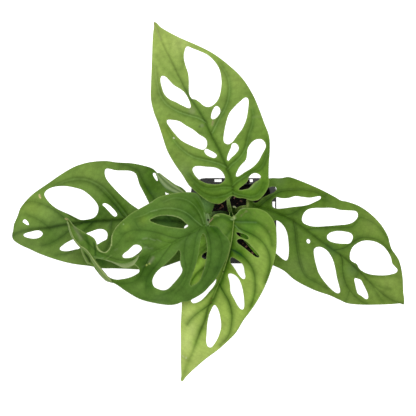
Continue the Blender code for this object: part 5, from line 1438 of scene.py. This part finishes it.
class Skin:
    """Small helper that builds a material's nodes."""

    def __init__(self, name, roughness, specular):
        """Starts a material with the given roughness and shine."""
        self.material = bpy.data.materials.new(name)
        self.material.use_nodes = True
        self.nodes = self.material.node_tree.nodes
        self.main = self.nodes["Principled BSDF"]
        self.main.inputs["Roughness"].default_value = roughness
        self.main.inputs["Specular IOR Level"].default_value = specular
        self.place = self.nodes.new("ShaderNodeTexCoord").outputs["Object"]

    def link(self, out, into):
        """Joins an output to an input."""
        self.material.node_tree.links.new(out, into)

    def texture(self, kind, scale, **settings):
        """Texture node that follows the piece, at the given scale."""
        item = self.nodes.new(kind)
        item.inputs["Scale"].default_value = scale
        for key, value in settings.items():
            setattr(item, key, value)
        self.link(self.place, item.inputs["Vector"])
        return item

    def spread(self, value, source, target):
        """Value moved from the source range to the target range."""
        item = self.nodes.new("ShaderNodeMapRange")
        for key, number in zip(("From Min", "From Max", "To Min", "To Max"), (*source, *target)):
            item.inputs[key].default_value = number
        self.link(value, item.inputs["Value"])
        return item.outputs["Result"]

    def scaled(self, colour, factor):
        """Colour times a factor."""
        item = self.nodes.new("ShaderNodeVectorMath")
        item.operation = "SCALE"
        self.link(colour, item.inputs[0])
        self.link(factor, item.inputs["Scale"])
        return item.outputs["Vector"]

    def tint(self):
        """The colour painted on the points."""
        item = self.nodes.new("ShaderNodeAttribute")
        item.attribute_name = "tint"
        return item.outputs["Color"]

    def relief(self, height, strength, depth):
        """Makes the surface look raised where the height is large."""
        item = self.nodes.new("ShaderNodeBump")
        item.inputs["Strength"].default_value = strength
        item.inputs["Distance"].default_value = depth
        self.link(height, item.inputs["Height"])
        self.link(item.outputs["Normal"], self.main.inputs["Normal"])


def leaf_skin(name, roughness, specular, net):
    """Leaf face: its painted colour under a fine net of veinlets and a faint grain."""
    skin = Skin(name, roughness, specular)
    cells = skin.texture("ShaderNodeTexVoronoi", VEINLET_SCALE, feature="DISTANCE_TO_EDGE")
    veinlets = skin.spread(cells.outputs["Distance"], (0.0, VEINLET_WIDTH), (1 - 2 * net, 1 + 0.4 * net))
    grain = skin.texture("ShaderNodeTexNoise", LEAF_GRAIN_SCALE)
    speck = skin.spread(grain.outputs["Fac"], GRAIN_RANGE, (1 - net, 1 + net))
    skin.link(skin.scaled(skin.scaled(skin.tint(), veinlets), speck), skin.main.inputs["Base Color"])
    shine = skin.texture("ShaderNodeTexNoise", SHINE_SCALE)
    limits = (roughness - SHINE_SPREAD, roughness + SHINE_SPREAD)
    rough = skin.spread(shine.outputs["Fac"], GRAIN_RANGE, limits)
    skin.link(rough, skin.main.inputs["Roughness"])
    skin.relief(veinlets, VEINLET_STRENGTH, VEINLET_RELIEF)
    return skin.material


def speckled_skin(name, roughness, specular, scale, speckle, relief):
    """Painted colour with specks and a rough surface."""
    skin = Skin(name, roughness, specular)
    grain = skin.texture("ShaderNodeTexNoise", scale)
    grain.inputs["Detail"].default_value = GRAIN_DETAIL
    speck = skin.spread(grain.outputs["Fac"], GRAIN_RANGE, (1 - speckle, 1 + speckle))
    skin.link(skin.scaled(skin.tint(), speck), skin.main.inputs["Base Color"])
    skin.relief(grain.outputs["Fac"], relief, GRAIN_RELIEF)
    return skin.material


def pot_skin():
    """Satin black moulded plastic with a faint grain and dust."""
    skin = Skin("pot_plastic", *POT_SHINE)
    dust = skin.texture("ShaderNodeTexNoise", DUST_SCALE)
    dust.inputs["Detail"].default_value = DUST_DETAIL
    tone = skin.nodes.new("ShaderNodeValToRGB")
    for stop, at, colour in zip(tone.color_ramp.elements, DUST_STOPS, DUST_TINTS):
        stop.position = at
        stop.color = (*linear(colour) * DUST_GAIN, 1)
    skin.link(dust.outputs["Fac"], tone.inputs["Fac"])
    skin.link(tone.outputs["Color"], skin.main.inputs["Base Color"])
    skin.link(skin.spread(dust.outputs["Fac"], (0, 1), DUST_ROUGHNESS), skin.main.inputs["Roughness"])
    grain = skin.texture("ShaderNodeTexNoise", POT_GRAIN_SCALE)
    skin.relief(grain.outputs["Fac"], POT_GRAIN_STRENGTH, POT_GRAIN_RELIEF)
    return skin.material


def floor():
    """Plain pale floor that glows a little."""
    mesh = bpy.data.meshes.new("floor")
    corners = [(a * FLOOR_REACH, b * FLOOR_REACH, 0) for a, b in ((-1, -1), (1, -1), (1, 1), (-1, 1))]
    mesh.from_pydata(corners, [], [(0, 1, 2, 3)])
    item = bpy.data.objects.new("floor", mesh)
    bpy.context.scene.collection.objects.link(item)
    skin = bpy.data.materials.new("floor_skin")
    skin.use_nodes = True
    main = skin.node_tree.nodes["Principled BSDF"]
    main.inputs["Base Color"].default_value = FLOOR_COLOUR
    main.inputs["Roughness"].default_value = FLOOR_ROUGHNESS
    main.inputs["Specular IOR Level"].default_value = 0.0
    main.inputs["Emission Color"].default_value = WHITE
    main.inputs["Emission Strength"].default_value = FLOOR_GLOW
    mesh.materials.append(skin)


def lamp(name, place, size, power):
    """Round lamp that shines at the plant."""
    light = bpy.data.lights.new(name, "AREA")
    light.shape = "DISK"
    light.size = size
    light.energy = power
    item = bpy.data.objects.new(name, light)
    item.location = place
    item.rotation_euler = (Vector(LAMP_AIM) - Vector(place)).to_track_quat("-Z", "Y").to_euler()
    bpy.context.scene.collection.objects.link(item)


def studio():
    """White surroundings, a large key lamp and a weak fill."""
    world = bpy.data.worlds.new("studio")
    world.use_nodes = True
    sky = world.node_tree.nodes["Background"]
    sky.inputs["Color"].default_value = WHITE
    sky.inputs["Strength"].default_value = SKY_STRENGTH
    bpy.context.scene.world = world
    for name, place, size, power in LAMPS:
        lamp(name, place, size, power)
    bpy.context.scene.view_settings.view_transform = "Standard"


def camera():
    """Looks straight down from the point above the plant that the picture was taken from."""
    lens = bpy.data.cameras.new("camera")
    lens.sensor_width = SENSOR_WIDTH
    lens.lens = SENSOR_WIDTH * (EYE[2] - POT_HEIGHT) / (PICTURE * PIXEL)
    lens.clip_end = CLIP_END
    item = bpy.data.objects.new("camera", lens)
    item.location = [c * MM for c in EYE]
    bpy.context.scene.collection.objects.link(item)
    bpy.context.scene.camera = item


def pot():
    """Gives the pot of the frame its plastic."""
    plastic = pot_skin()
    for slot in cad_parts["pot"].material_slots:
        slot.material = plastic


leaves()
sheaths()
stem()
soil_bed()
soil_bits()
pot()
floor()
studio()
camera()
